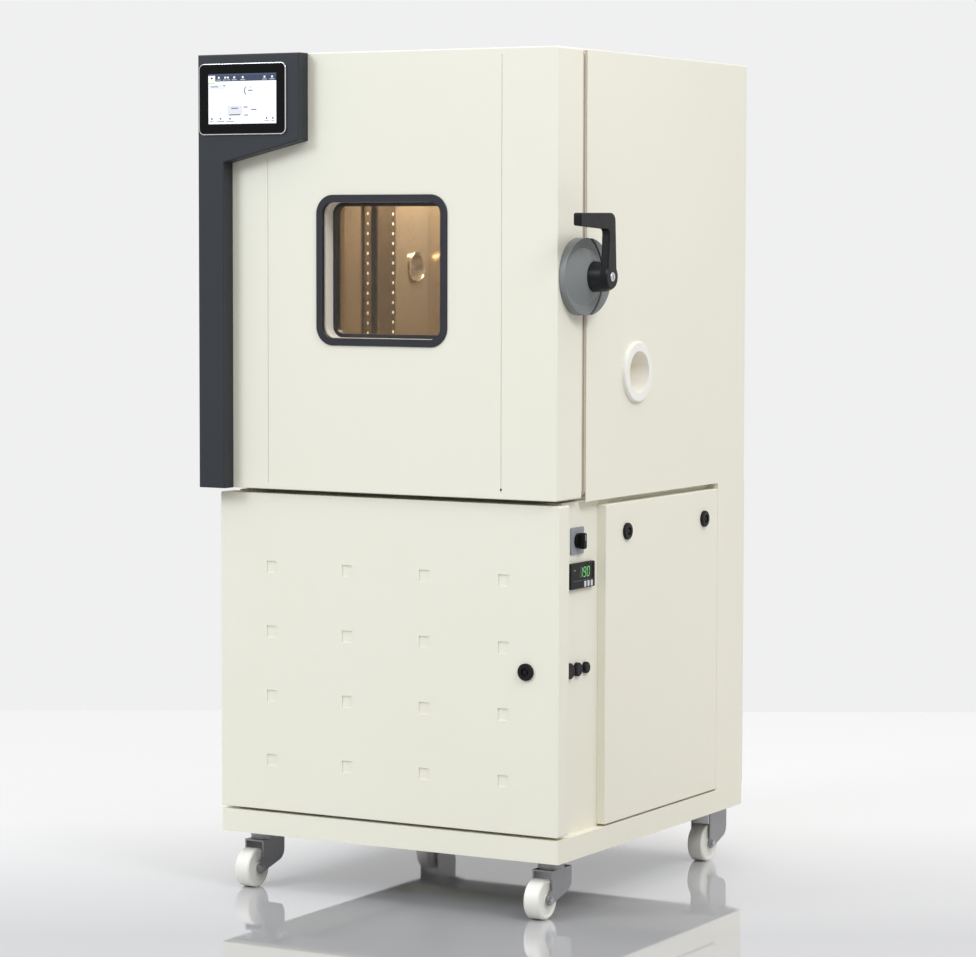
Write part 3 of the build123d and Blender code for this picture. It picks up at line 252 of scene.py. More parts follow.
cream = {"tone": (0.852, 0.832, 0.713), "shade": (0.84, 0.815, 0.695)}
finishes = {
    "creamSheet": paintedSheet("creamSheet", cream["tone"], cream["shade"]),
    # the base tray's sheet, with painted shade on its downward faces
    "traySheet": paintUndersideShade(
        paintedSheet("traySheet", cream["tone"], cream["shade"]), (0.045, 0.044, 0.047)),
    # a lighter copy of the cream paint: painted light on the walls of the window tunnel
    "litCreamReveal": paintedSheet("litCreamReveal", (0.88, 0.84, 0.76), (0.85, 0.81, 0.73), (0.4, 0.5)),
    "columnCoat": paintedSheet(
        "columnCoat", (0.031, 0.034, 0.040), (0.026, 0.029, 0.034), (0.4, 0.5),
        grain=1800, grainDepth=0.14, waveDepth=0.01, gloss=0.3),
    "windowRubber": mouldedPlastic(
        "windowRubber", (0.027, 0.027, 0.035), (0.023, 0.023, 0.03), (0.46, 0.58)),
    "innerFrame": mouldedPlastic(
        "innerFrame", (0.014, 0.015, 0.018), (0.010, 0.011, 0.013), (0.35, 0.5)),
    "polishedSteel": brushedSheet(
        "polishedSteel", (0.72, 0.64, 0.53), (0.66, 0.58, 0.47), (0.16, 0.24),
        depth=0.006, metal=0.8),
    # near white and not metal: a painted highlight for the bright strips on the side walls
    "highlightWhite": brushedSheet(
        "highlightWhite", (0.98, 0.94, 0.84), (0.94, 0.89, 0.78), (0.16, 0.24),
        depth=0.004, metal=0.0),
    "wireSteel": brushedSheet(
        "wireSteel", (0.7, 0.68, 0.64), (0.6, 0.58, 0.55), (0.18, 0.26), depth=0.02),
    "railSteel": brushedSheet(
        "railSteel", (0.66, 0.61, 0.54), (0.52, 0.47, 0.41), (0.1, 0.2), depth=0.02),
    # near white: painted highlight for the rims of the rail holes
    "rimHighlight": brushedSheet(
        "rimHighlight", (0.95, 0.94, 0.9), (0.9, 0.88, 0.84), (0.3, 0.4), (90, 90, 90), 0.02,
        metal=0.1),
    "zincPlate": spangledZinc("zincPlate", (0.36, 0.37, 0.38), (0.29, 0.30, 0.31)),
    "forkZinc": brushedSheet(
        "forkZinc", (0.34, 0.34, 0.35), (0.29, 0.29, 0.30), (0.34, 0.44), (40, 40, 8), 0.02,
        metal=0.7),
    "blackPlastic": mouldedPlastic(
        "blackPlastic", (0.009, 0.009, 0.0095), (0.006, 0.006, 0.0065), gloss=0.2),
    "leverBlack": mouldedPlastic(
        "leverBlack", (0.0075, 0.0075, 0.008), (0.005, 0.005, 0.0055), (0.34, 0.46),
        grain=3000, grainDepth=0.08, gloss=0.22),
    "discGrey": paintedSheet(
        "discGrey", (0.235, 0.245, 0.245), (0.215, 0.225, 0.225), (0.42, 0.52),
        grain=1800, gloss=0.25),
    "switchGrey": mouldedPlastic("switchGrey", (0.30, 0.32, 0.34), (0.27, 0.29, 0.31)),
    "portWhite": mouldedPlastic(
        "portWhite", (0.90, 0.89, 0.83), (0.87, 0.86, 0.80), (0.35, 0.45),
        grain=2200, grainDepth=0.05),
    "keyWhite": mouldedPlastic("keyWhite", (0.70, 0.71, 0.73), (0.64, 0.65, 0.67)),
    "wheelNylon": mouldedPlastic(
        "wheelNylon", (0.87, 0.855, 0.79), (0.83, 0.815, 0.75), (0.34, 0.48),
        grain=1500, grainDepth=0.08),
    "sealSilicone": mouldedPlastic(
        "sealSilicone", (0.62, 0.55, 0.47), (0.57, 0.50, 0.42), (0.5, 0.62)),
    "yellowFoam": fibreFoam("yellowFoam", (0.72, 0.62, 0.36), (0.6, 0.5, 0.28)),
    "windowGlass": clearPane("windowGlass", (0.30, 0.27, 0.22), 0.035),
    "screenGlass": mouldedPlastic(
        "screenGlass", (0.0035, 0.0035, 0.004), (0.003, 0.003, 0.0035), (0.05, 0.09),
        grain=700, grainDepth=0.002, gloss=0.12),
    "screenRim": brushedSheet(
        "screenRim", (0.72, 0.73, 0.74), (0.64, 0.65, 0.66), (0.16, 0.24), depth=0.01),
    "keySilver": brushedSheet(
        "keySilver", (0.72, 0.73, 0.74), (0.56, 0.57, 0.58), (0.25, 0.35), (90, 90, 90), 0.02),
    "potBlack": paintedSheet(
        "potBlack", (0.012, 0.012, 0.013), (0.009, 0.009, 0.010), (0.22, 0.34),
        grain=900, coat=0.3),
    "finAluminium": brushedSheet(
        "finAluminium", (0.74, 0.75, 0.77), (0.6, 0.61, 0.63), (0.25, 0.38)),
    "screwSteel": brushedSheet(
        "screwSteel", (0.55, 0.56, 0.57), (0.42, 0.43, 0.44), (0.25, 0.36), (80, 80, 80)),
    "shadowHole": mouldedPlastic(
        "shadowHole", (0.02, 0.016, 0.013), (0.014, 0.012, 0.01), (0.6, 0.8)),
    "screenLight": glowingInk("screenLight", 0.3),
    "digitLight": glowingInk("digitLight", 0.75),
}

nodeFinish = {
    "traySheet": "base_tray",
    "creamSheet": "lower_frame recess_strips rear_panel upper_casing left_side_panel right_side_panel"
                  " front_panel door_shell",
    "litCreamReveal": "window_tunnel",
    "columnCoat": "control_column",
    "windowRubber": "window_frame",
    "innerFrame": "window_inner_frame",
    "polishedSteel": "chamber_liner air_baffle door_liner left_cable_port",
    "railSteel": "shelf_rails",
    "wireSteel": "wire_shelf",
    "zincPlate": "caster_plates cabinet_hinges door_hinge_leaves latch_hook electrical_box",
    "forkZinc": "rear_caster_forks left_caster_fork right_caster_fork",
    "blackPlastic": "cable_gland limit_controller blanking_plugs switch_knob front_panel_lock side_lock_front"
                    " side_lock_rear circulation_fan condenser_fan",
    "leverBlack": "door_lever",
    "discGrey": "closer_keeper closer_plate",
    "switchGrey": "switch_plate",
    "portWhite": "right_cable_port",
    "keyWhite": "controller_key_down controller_key_up controller_key_set",
    "wheelNylon": "front_left_wheel front_right_wheel rear_left_wheel rear_right_wheel",
    "sealSilicone": "door_seal",
    "yellowFoam": "body_insulation door_insulation",
    "windowGlass": "window_panes",
    "screenGlass": "display_glass",
    "screenRim": "display_unit",
    "keySilver": "lever_lock",
    "potBlack": "compressor liquid_receiver fan_motor",
    "finAluminium": "evaporator condenser",
}
for finish, names in nodeFinish.items():
    for name in names.split():
        nodes[name].data.materials.clear()
        nodes[name].data.materials.append(finishes[finish])
print("finishes set on", sum(len(v.split()) for v in nodeFinish.values()), "nodes")

# making pieces


def newPiece(name, mesh, finish, body):
    piece = bpy.data.objects.new(name, mesh)
    scene.collection.objects.link(piece)
    mesh.materials.clear()
    mesh.materials.append(finishes[finish])
    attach(piece, body)
    return piece


def addSlab(bm, inkLayer, low, high, colour):
    # low and high are corners in drawing millimetres
    made = bmesh.ops.create_cube(bm, size=1.0)["verts"]
    a, b = at(*low), at(*high)
    for v in made:
        v.co = Vector(((a[i] + b[i]) / 2 + v.co[i] * abs(b[i] - a[i]) for i in range(3)))
    for face in {f for v in made for f in v.link_faces}:
        for loop in face.loops:
            loop[inkLayer] = (*colour, 1.0)


def inkMesh():
    bm = bmesh.new()
    return bm, bm.loops.layers.float_color.new("ink")


def closeMesh(bm, name):
    bmesh.ops.recalc_face_normals(bm, faces=bm.faces)
    mesh = bpy.data.meshes.new(name)
    bm.to_mesh(mesh)
    bm.free()
    return mesh


def smoothQuads(mesh, sharpFrom):
    mesh.polygons.foreach_set("use_smooth", [len(f.vertices) == 4 for f in mesh.polygons])
    mesh.set_sharp_from_angle(angle=math.radians(sharpFrom))


# the picture on the touch screen

touchScreen = {
    "left": -367.0, "right": -213.0, "low": 1480.0, "high": 1575.0,
    "lift": 0.05, "sunk": 0.02,
    "navy": (0.006, 0.018, 0.06), "topBar": (0.02, 0.045, 0.09), "white": (1.0, 1.0, 1.0),
    "paper": (0.86, 0.88, 0.92), "pane": (0.66, 0.69, 0.76), "list": (0.78, 0.80, 0.87),
    "olive": (0.55, 0.6, 0.25), "card": (0.62, 0.64, 0.67), "field": (0.78, 0.79, 0.82),
    "dark": (0.05, 0.055, 0.07), "label": (0.5, 0.56, 0.66),
    # patches in shares of the picture: left, right, low, high, colour, layer
    "patches": (
        (0, 1, 0, 1, "paper", 1), (0, 1, 0.85, 1.0, "navy", 2), (0, 1, 0.965, 1.0, "topBar", 3),
        (0, 0.1, 0.83, 0.965, "white", 3), (0, 0.1, 0.805, 0.83, "olive", 3),
        (0.015, 0.27, 0.70, 0.79, "pane", 2), (0.015, 0.27, 0.12, 0.69, "list", 2),
        (0.28, 0.5, 0.16, 0.36, "card", 2), (0.51, 0.74, 0.27, 0.36, "field", 2),
        (0.51, 0.74, 0.16, 0.26, "field", 2),
    ),
    # bars that stand for type and signs: middle x and z, width, height
    "home": (0.05, 0.915, 0.03, 0.04),
    "signs": ((0.09, 0.745, 0.11, 0.015), (0.235, 0.765, 0.02, 0.02)),
    "tabs": (0.155, 0.25, 0.29, 0.385, 0.51, 0.83, 0.94),
    "tabSign": (0.925, 0.024, 0.035), "tabLabel": (0.878, 0.07, 0.012),
    "lines": ((0.39, 0.31, 0.1), (0.39, 0.18, 0.16), (0.55, 0.33, 0.06), (0.67, 0.28, 0.08),
              (0.56, 0.17, 0.06)),
    "lineTall": 0.018,
    "footer": ((0.05, 0.05), (0.18, 0.11), (0.32, 0.11), (0.86, 0.07), (0.95, 0.04)),
    "footLabel": (0.05, 0.012), "footSign": (0.105, 0.022, 0.035),
}
gauge = {
    "middle": (0.62, 0.66), "radius": 0.135, "steps": 56, "arc": (0.16, 0.36),
    "arcMark": (0.011, 0.02), "ringMark": (0.005, 0.009), "ring": (0.52, 0.54, 0.57),
    # rise over the middle, width, height and colour of the pointer, the reading and its unit
    "inside": ((0.065, 0.008, 0.035, touchScreen["dark"]), (0, 0.07, 0.026, (0.2, 0.21, 0.24)),
               (-0.06, 0.08, 0.009, (0.45, 0.47, 0.5))),
}


def makeScreenPicture():
    s = touchScreen
    bm, ink = inkMesh()
    face = drawnBox("display_glass")[0][1]
    wide, tall = s["right"] - s["left"], s["high"] - s["low"]

    def patch(x0, x1, z0, z1, colour, layer):
        front = face - s["lift"] * layer
        addSlab(bm, ink, (s["left"] + x0 * wide, front, s["low"] + z0 * tall),
                (s["left"] + x1 * wide, face + s["sunk"], s["low"] + z1 * tall), colour)

    def mark(x, z, w, h, colour, layer=4):
        patch(x - w / 2, x + w / 2, z - h / 2, z + h / 2, colour, layer)

    for x0, x1, z0, z1, colour, layer in s["patches"]:
        patch(x0, x1, z0, z1, s[colour], layer)
    mark(*s["home"], s["navy"])
    for sign in s["signs"]:
        mark(*sign, s["dark"])
    for x in s["tabs"]:
        mark(x, *s["tabSign"], s["white"])
        mark(x, *s["tabLabel"], s["label"])
    for x, z, w in s["lines"]:
        mark(x, z, w, s["lineTall"], s["dark"])
    for x, w in s["footer"]:
        z, h = s["footLabel"]
        mark(x, z, w, h, s["dark"])
        mark(x, *s["footSign"], s["dark"])
    # the round gauge: a thin ring, a heavier arc on its left and a reading
    middleX, middleZ = gauge["middle"]
    steps, r = gauge["steps"], gauge["radius"]
    for step in range(steps):
        share = (step + 0.5) / steps
        turn = 2 * math.pi * share
        filled = gauge["arc"][0] < share < gauge["arc"][1]
        w, h = gauge["arcMark" if filled else "ringMark"]
        mark(middleX + r * math.sin(-turn) * tall / wide, middleZ + r * math.cos(turn), w, h,
             s["dark"] if filled else gauge["ring"])
    for rise, w, h, colour in gauge["inside"]:
        mark(middleX, middleZ + rise, w, h, colour)
    mesh = closeMesh(bm, "screenPicture")
    newPiece("screenPicture", mesh, "screenLight", "door")


# seven-segment digits of the limit controller

limitDisplay = {
    "reading": "190", "digitHeight": 17.5, "digitWidth": 8.6, "stroke": 1.5, "pitch": 14.2,
    "slant": 0.12, "middle": 8.0, "rise": 6, "window": 1.0, "sunk": 0.02,
    "litProud": 0.5, "unlitProud": 0.2,
    "state": {"in": 14, "wide": 5, "tall": 1, "proud": 0.4},
    "rule": {"in": 9, "low": 15, "high": 14.4, "proud": 0.05},
    "green": (0.10, 0.42, 0.10), "unlit": (0.003, 0.006, 0.004), "line": (0.06, 0.065, 0.07),
}
segmentsLit = {"0": "abcdef", "1": "bc", "9": "abcdfg"}


def makeDigits():
    d = limitDisplay
    low, high = drawnBox("limit_controller")
    bm, ink = inkMesh()
    face = high[0] - d["window"]
    middleY = (low[1] + high[1]) / 2 + d["middle"]
    middleZ = (low[2] + high[2]) / 2 + d["rise"]
    w, h, t = d["digitWidth"], d["digitHeight"], d["stroke"]
    bars = {
        "a": (0, h / 2, w - t, t), "g": (0, 0, w - t, t), "d": (0, -h / 2, w - t, t),
        "f": (-w / 2, h / 4, t, h / 2 - t), "b": (w / 2, h / 4, t, h / 2 - t),
        "e": (-w / 2, -h / 4, t, h / 2 - t), "c": (w / 2, -h / 4, t, h / 2 - t),
    }
    for index, digit in enumerate(d["reading"]):
        centre = middleY + (index - (len(d["reading"]) - 1) / 2) * d["pitch"]
        for key, (y, z, wide, tall) in bars.items():
            lit = key in segmentsLit[digit]
            proud = d["litProud"] if lit else d["unlitProud"]
            before = len(bm.verts)
            addSlab(bm, ink, (face - d["sunk"], centre + y - wide / 2, middleZ + z - tall / 2),
                    (face + proud, centre + y + wide / 2, middleZ + z + tall / 2),
                    d["green"] if lit else d["unlit"])
            bm.verts.ensure_lookup_table()
            for v in bm.verts[before:]:
                v.co.y += (v.co.z - middleZ * mm) * d["slant"]
    # state mark at the left of the digits, and the line over the keys
    state, rule = d["state"], d["rule"]
    left, markLow = low[1] + state["in"], middleZ + h / 4
    addSlab(bm, ink, (face - d["sunk"], left, markLow),
            (face + state["proud"], left + state["wide"], markLow + state["tall"]), d["green"])
    addSlab(bm, ink, (high[0] - d["sunk"], low[1] + rule["in"], middleZ - rule["low"]),
            (high[0] + rule["proud"], high[1] - rule["in"], middleZ - rule["high"]), d["line"])
    mesh = closeMesh(bm, "limitDigits")
    newPiece("limitDigits", mesh, "digitLight", "cabinet")


makeScreenPicture()
makeDigits()
print("screen picture and digits made")

# screws, holes and other repeats: points with a facing direction, filled by geometry nodes


def startGroup(name, sizes):
    group = bpy.data.node_groups.new(name, "GeometryNodeTree")
    socket = group.interface.new_socket
    socket("Geometry", in_out="INPUT", socket_type="NodeSocketGeometry")
    for key, value in sizes.items():
        socket(key, in_out="INPUT", socket_type="NodeSocketFloat").default_value = value
    socket("Geometry", in_out="OUTPUT", socket_type="NodeSocketGeometry")
    return group, group.nodes.new("NodeGroupInput")


def endGroup(group, geometry, finish):
    # real meshes in their finish leave the group
    link = group.links.new
    real = group.nodes.new("GeometryNodeRealizeInstances")
    link(geometry, real.inputs["Geometry"])
    paint = group.nodes.new("GeometryNodeSetMaterial")
    paint.inputs["Material"].default_value = finishes[finish]
    link(real.outputs["Geometry"], paint.inputs["Geometry"])
    link(paint.outputs["Geometry"], group.nodes.new("NodeGroupOutput").inputs["Geometry"])


def feed(group, socket, value):
    # numbers are set, sockets are linked
    if isinstance(value, (int, float)):
        socket.default_value = value
    else:
        group.links.new(value, socket)


def groupMath(group, operation, a, b):
    node = group.nodes.new("ShaderNodeMath")
    node.operation = operation
    feed(group, node.inputs[0], a)
    feed(group, node.inputs[1], b)
    return node.outputs[0]


def groupVector(group, *numbers):
    node = group.nodes.new("ShaderNodeCombineXYZ")
    for socket, value in zip(node.inputs, numbers):
        feed(group, socket, value)
    return node.outputs[0]


def placingTree(name, shapeMaker, sizes, finish):
    group, entry = startGroup(name, sizes)
    link = group.links.new
    direction = group.nodes.new("GeometryNodeInputNamedAttribute")
    direction.data_type = "FLOAT_VECTOR"
    direction.inputs["Name"].default_value = "facing"
    turn = group.nodes.new("FunctionNodeAlignRotationToVector")
    turn.axis = "Z"
    link(direction.outputs["Attribute"], turn.inputs["Vector"])
    points = group.nodes.new("GeometryNodeInstanceOnPoints")
    link(entry.outputs["Geometry"], points.inputs["Points"])
    link(shapeMaker(group, entry), points.inputs["Instance"])
    link(turn.outputs["Rotation"], points.inputs["Rotation"])
    endGroup(group, points.outputs["Instances"], finish)
    return group


def runGroup(name, mesh, group, sizes):
    source = bpy.data.objects.new(name + "Source", mesh)
    scene.collection.objects.link(source)
    modifier = source.modifiers.new("nodes", "NODES")
    modifier.node_group = group
    for item in group.interface.items_tree:
        if item.in_out == "INPUT" and item.name in sizes:
            modifier[item.identifier] = sizes[item.name]
    depsgraph = bpy.context.evaluated_depsgraph_get()
    made = bpy.data.meshes.new_from_object(source.evaluated_get(depsgraph))
    made.name = name
    source.modifiers.remove(modifier)
    bpy.data.objects.remove(source)
    return made


def fillPlaces(name, places, group, sizes, body, finish):
    # places: list of (position in metres, facing vector)
    cloud = bpy.data.meshes.new(name + "Points")
    cloud.from_pydata([p for p, _ in places], [], [])
    facing = cloud.attributes.new("facing", "FLOAT_VECTOR", "POINT")
    for index, (_, direction) in enumerate(places):
        facing.data[index].vector = direction
    newPiece(name, runGroup(name, cloud, group, sizes), finish, body)


screws = {
    "hinge": {"Head": 0.009, "Height": 0.0024}, "panel": {"Head": 0.008, "Height": 0.0020},
    # shares of the head's radius, and of its height for the depth of the cross
    "sides": 16, "top": 0.72, "crossLong": 0.95, "crossWide": 0.22, "crossTall": 1.2,
    "leafOut": 4.0, "leafHeights": (880.0, 1370.0), "leafRows": (-34, 34),
    "doorLeaf": (12, 42), "cabinetLeaf": (122, 151),
    "edge": 14, "rearEdge": 12, "rearRows": 5, "rearMiddle": (-90, 90),
}


def screwShape(group, entry):
    # lens head: a blunt cone with a cross recess cut into its top
    s = screws
    link = group.links.new
    height = entry.outputs["Height"]
    radius = groupMath(group, "MULTIPLY", entry.outputs["Head"], 0.5)
    top, long, short = (groupMath(group, "MULTIPLY", radius, s[k]) for k in ("top", "crossLong", "crossWide"))
    head = group.nodes.new("GeometryNodeMeshCone")
    head.inputs["Vertices"].default_value = s["sides"]
    link(top, head.inputs["Radius Top"])
    link(radius, head.inputs["Radius Bottom"])
    link(height, head.inputs["Depth"])
    cut = group.nodes.new("GeometryNodeMeshBoolean")
    cut.operation = "DIFFERENCE"
    link(head.outputs["Mesh"], cut.inputs["Mesh 1"])
    tall = groupMath(group, "MULTIPLY", height, s["crossTall"])
    for x, y in ((long, short), (short, long)):
        bar = group.nodes.new("GeometryNodeMeshCube")
        link(groupVector(group, x, y, tall), bar.inputs["Size"])
        lift = group.nodes.new("GeometryNodeTransform")
        link(bar.outputs["Mesh"], lift.inputs["Geometry"])
        link(groupVector(group, 0, 0, height), lift.inputs["Translation"])
        link(lift.outputs["Geometry"], cut.inputs["Mesh 2"])
    return cut.outputs["Mesh"]


def hingeScrews():
    s = screws
    doorPlaces, cabinetPlaces = [], []
    outward = Vector((-1, 0, 0))
    x = -halfWidth - s["leafOut"]
    leafEdge = drawnBox("door_hinge_leaves")[0][1]
    for z in s["leafHeights"]:
        doorPlaces += [(at(x, leafEdge + y, z), outward) for y in s["doorLeaf"]]
        cabinetPlaces += [(at(x, y, z + dz), outward) for dz in s["leafRows"] for y in s["cabinetLeaf"]]
    return doorPlaces, cabinetPlaces


def rearScrews():
    # both sides and the middle of the rear panel, then the edges of the casing over it
    edge, rows = screws["edge"], screws["rearRows"]
    back = Vector((0, 1, 0))
    low, high = drawnBox("rear_panel")
    rise = (high[2] - low[2] - 2 * edge) / (rows - 1)
    places = [(at(x, high[1], low[2] + edge + step * rise), back)
              for x in (low[0] + screws["rearEdge"], high[0] - screws["rearEdge"]) for step in range(rows)]
    places += [(at(x, high[1], z), back)
               for x in screws["rearMiddle"] for z in (low[2] + edge, high[2] - edge)]
    low, high = drawnBox("upper_casing")
    places += [(at(x, high[1], z), back)
               for x in (low[0] + edge, 0, high[0] - edge) for z in (low[2] + edge, high[2] - edge)]
    return places


def leftPanelScrews():
    edge = screws["edge"]
    low, high = drawnBox("left_side_panel")
    out = Vector((-1, 0, 0))
    return [(at(low[0], y, z), out) for y in (low[1] + edge, high[1] - edge)
            for z in (low[2] + edge, (low[2] + high[2]) / 2, high[2] - edge)]


screwTree = placingTree("lensScrew", screwShape, screws["panel"], "screwSteel")
doorPlaces, cabinetPlaces = hingeScrews()
for name, places, kind, body in (("doorHingeScrews", doorPlaces, "hinge", "door"),
                                 ("cabinetHingeScrews", cabinetPlaces, "hinge", "cabinet"),
                                 ("rearPanelScrews", rearScrews(), "panel", "cabinet"),
                                 ("leftPanelScrews", leftPanelScrews(), "panel", "cabinet")):
    fillPlaces(name, places, screwTree, screws[kind], body, "screwSteel")
print("screws placed")

# punched holes of the shelf rails, drawn as near-white discs: painted highlight at their rims

railHoles = {
    "size": {"Across": 0.0064, "Height": 0.0008}, "sides": 14,
    "pitch": 20.0, "margin": 12.0, "rows": (386.0, 485.0), "sheet": 5.0,
}


def discShape(group, entry):
    disc = group.nodes.new("GeometryNodeMeshCylinder")
    disc.inputs["Vertices"].default_value = railHoles["sides"]
    feed(group, disc.inputs["Radius"], groupMath(group, "MULTIPLY", entry.outputs["Across"], 0.5))
    feed(group, disc.inputs["Depth"], entry.outputs["Height"])
    return disc.outputs["Mesh"]


def testSpaceWall():
    # the rails stand a little way off the wall
    low, high = drawnBox("shelf_rails")
    return (high[0] - low[0]) / 2 + 0.3


def railPlaces():
    r = railHoles
    low, high = drawnBox("shelf_rails")
    face = testSpaceWall() - r["sheet"]
    count = int((high[2] - low[2] - 2 * r["margin"]) / r["pitch"]) + 1
    return [(at(side * face, y, low[2] + r["margin"] + step * r["pitch"]), Vector((-side, 0, 0)))
            for y in r["rows"] for step in range(count) for side in (-1, 1)]


holeTree = placingTree("roundHole", discShape, railHoles["size"], "shadowHole")
fillPlaces("railHoles", railPlaces(), holeTree, railHoles["size"], "cabinet", "rimHighlight")
print("rail holes placed")

# bolts under the castor plates and nuts on the axles

casterBolts = {
    "bolt": {"Head": 0.011, "Height": 0.0035}, "nut": {"Head": 0.013, "Height": 0.005},
    # sides, radius and depth of the head and of the washer on it, in shares
    "rings": ((6, 0.5, 2.0), (20, 0.66, 0.6)),
    "plate": 80.0, "reach": 30.0, "legOut": 21.5,
}


def hexShape(group, entry):
    join = group.nodes.new("GeometryNodeJoinGeometry")
    for sides, across, tall in casterBolts["rings"]:
        ring = group.nodes.new("GeometryNodeMeshCylinder")
        ring.inputs["Vertices"].default_value = sides
        feed(group, ring.inputs["Radius"], groupMath(group, "MULTIPLY", entry.outputs["Head"], across))
        feed(group, ring.inputs["Depth"], groupMath(group, "MULTIPLY", entry.outputs["Height"], tall))
        group.links.new(ring.outputs["Mesh"], join.inputs["Geometry"])
    return join.outputs["Geometry"]


def casterPlaces():
    low, high = drawnBox("caster_plates")
    half, reach = casterBolts["plate"] / 2, casterBolts["reach"]
    down = Vector((0, 0, -1))
    return [(at(x + dx, y + dy, low[2]), down)
            for x in (low[0] + half, high[0] - half) for y in (low[1] + half, high[1] - half)
            for dx in (-reach, reach) for dy in (-reach, reach)]


def axlePlaces(wheels):
    places = []
    for wheel in wheels.split():
        x, y, z = ((a + b) / 2 for a, b in zip(*drawnBox(wheel)))
        places += [(at(x + side * casterBolts["legOut"], y, z), Vector((side, 0, 0))) for side in (-1, 1)]
    return places


boltTree = placingTree("hexBolt", hexShape, casterBolts["bolt"], "screwSteel")
fillPlaces("casterBolts", casterPlaces(), boltTree, casterBolts["bolt"], "cabinet", "screwSteel")
for node, body, wheels in (("left_caster_fork", "left_swivel", "front_left_wheel"),
                           ("right_caster_fork", "right_swivel", "front_right_wheel"),
                           ("rear_caster_forks", "cabinet", "rear_left_wheel rear_right_wheel")):
    fillPlaces(node + "_nuts", axlePlaces(wheels), boltTree, casterBolts["nut"], body, "screwSteel")
print("castor bolts placed")

# fins of the condenser, in the slots of its block

condenserFins = {
    "size": {"Thick": 0.0004, "Deep": 0.046, "Tall": 0.29},
    "pitch": 3.0, "slot": 12.0, "slotPitch": 28.0, "slots": 10, "rise": 195.0, "behind": 25,
}


def finShape(group, entry):
    plate = group.nodes.new("GeometryNodeMeshCube")
    size = groupVector(group, *(entry.outputs[key] for key in condenserFins["size"]))
    group.links.new(size, plate.inputs["Size"])
    return plate.outputs["Mesh"]


def finPlaces():
    f = condenserFins
    low, high = drawnBox("condenser")
    middle = (low[0] + high[0]) / 2
    inSlot = int(f["slot"] / f["pitch"])
    y, z = high[1] - f["behind"], low[2] + f["rise"]
    places = []
    for slot in range(f["slots"]):
        x = middle + f["slotPitch"] * (slot - (f["slots"] - 1) / 2)
        places += [(at(x + f["pitch"] * (n - (inSlot - 1) / 2), y, z), Vector((0, 0, 1)))
                   for n in range(inSlot)]
    return places


finTree = placingTree("fin", finShape, condenserFins["size"], "finAluminium")
fillPlaces("condenserFins", finPlaces(), finTree, condenserFins["size"], "cabinet",
           "finAluminium")
print("fins placed")

# door seals: a flat foot and a bulb, swept round the opening

seals = {
    "depth": 20.1, "foot": 4.0, "bulbSides": 14, "bulbWide": 0.86, "arcSteps": 8,
    "inner": {"width": 16.0, "radius": 25.0, "opening": (596.0, 636.0)},
    "outer": {"width": 12.0, "radius": 5.0},
}


def roundedPath(name, middleZ, wide, tall, radius):
    # lies flat, and the sweep stands it up
    steps = seals["arcSteps"]
    points = []
    for corner, (sx, sz) in enumerate(((1, -1), (1, 1), (-1, 1), (-1, -1))):
        cx, cz = sx * (wide / 2 - radius), middleZ + sz * (tall / 2 - radius)
        for step in range(steps + 1):
            angle = math.radians(-90 + 90 * corner + 90 * step / steps)
            x, z = cx + radius * math.cos(angle), cz + radius * math.sin(angle)
            points.append((zeroX + x * mm, z * mm, 0))
    mesh = bpy.data.meshes.new(name)
    mesh.from_pydata(points, [(n, (n + 1) % len(points)) for n in range(len(points))], [])
    return mesh


def sealTree(backY):
    group, entry = startGroup("sealSweep", {"Width": 0.01, "Depth": 0.01, "Foot": 0.01})
    link = group.links.new
    width, depth, foot = (entry.outputs[key] for key in ("Width", "Depth", "Foot"))
    path = group.nodes.new("GeometryNodeMeshToCurve")
    link(entry.outputs["Geometry"], path.inputs["Mesh"])
    join = group.nodes.new("GeometryNodeJoinGeometry")
    circle = group.nodes.new("GeometryNodeCurvePrimitiveCircle")
    circle.inputs["Resolution"].default_value = seals["bulbSides"]
    circle.inputs["Radius"].default_value = 0.5
    square = group.nodes.new("GeometryNodeCurvePrimitiveQuadrilateral")
    for key in ("Width", "Height"):
        square.inputs[key].default_value = 1.0
    bulbSize = groupVector(group, groupMath(group, "MULTIPLY", width, seals["bulbWide"]),
                           groupMath(group, "SUBTRACT", depth, foot), 1.0)
    shapes = (
        (circle, bulbSize, groupMath(group, "ADD", depth, foot)),
        (square, groupVector(group, width, foot, 1.0), foot),
    )
    for shape, size, rise in shapes:
        place = group.nodes.new("GeometryNodeTransform")
        link(shape.outputs["Curve"], place.inputs["Geometry"])
        link(size, place.inputs["Scale"])
        link(groupVector(group, 0, groupMath(group, "MULTIPLY", rise, -0.5), 0), place.inputs["Translation"])
        sweep = group.nodes.new("GeometryNodeCurveToMesh")
        link(path.outputs["Curve"], sweep.inputs["Curve"])
        link(place.outputs["Geometry"], sweep.inputs["Profile Curve"])
        link(sweep.outputs["Mesh"], join.inputs["Geometry"])
    stand = group.nodes.new("GeometryNodeTransform")
    stand.inputs["Rotation"].default_value = (math.radians(90), 0, 0)
    stand.inputs["Translation"].default_value = (0, backY, 0)
    link(join.outputs["Geometry"], stand.inputs["Geometry"])
    endGroup(group, stand.outputs["Geometry"], "sealSilicone")
    return group


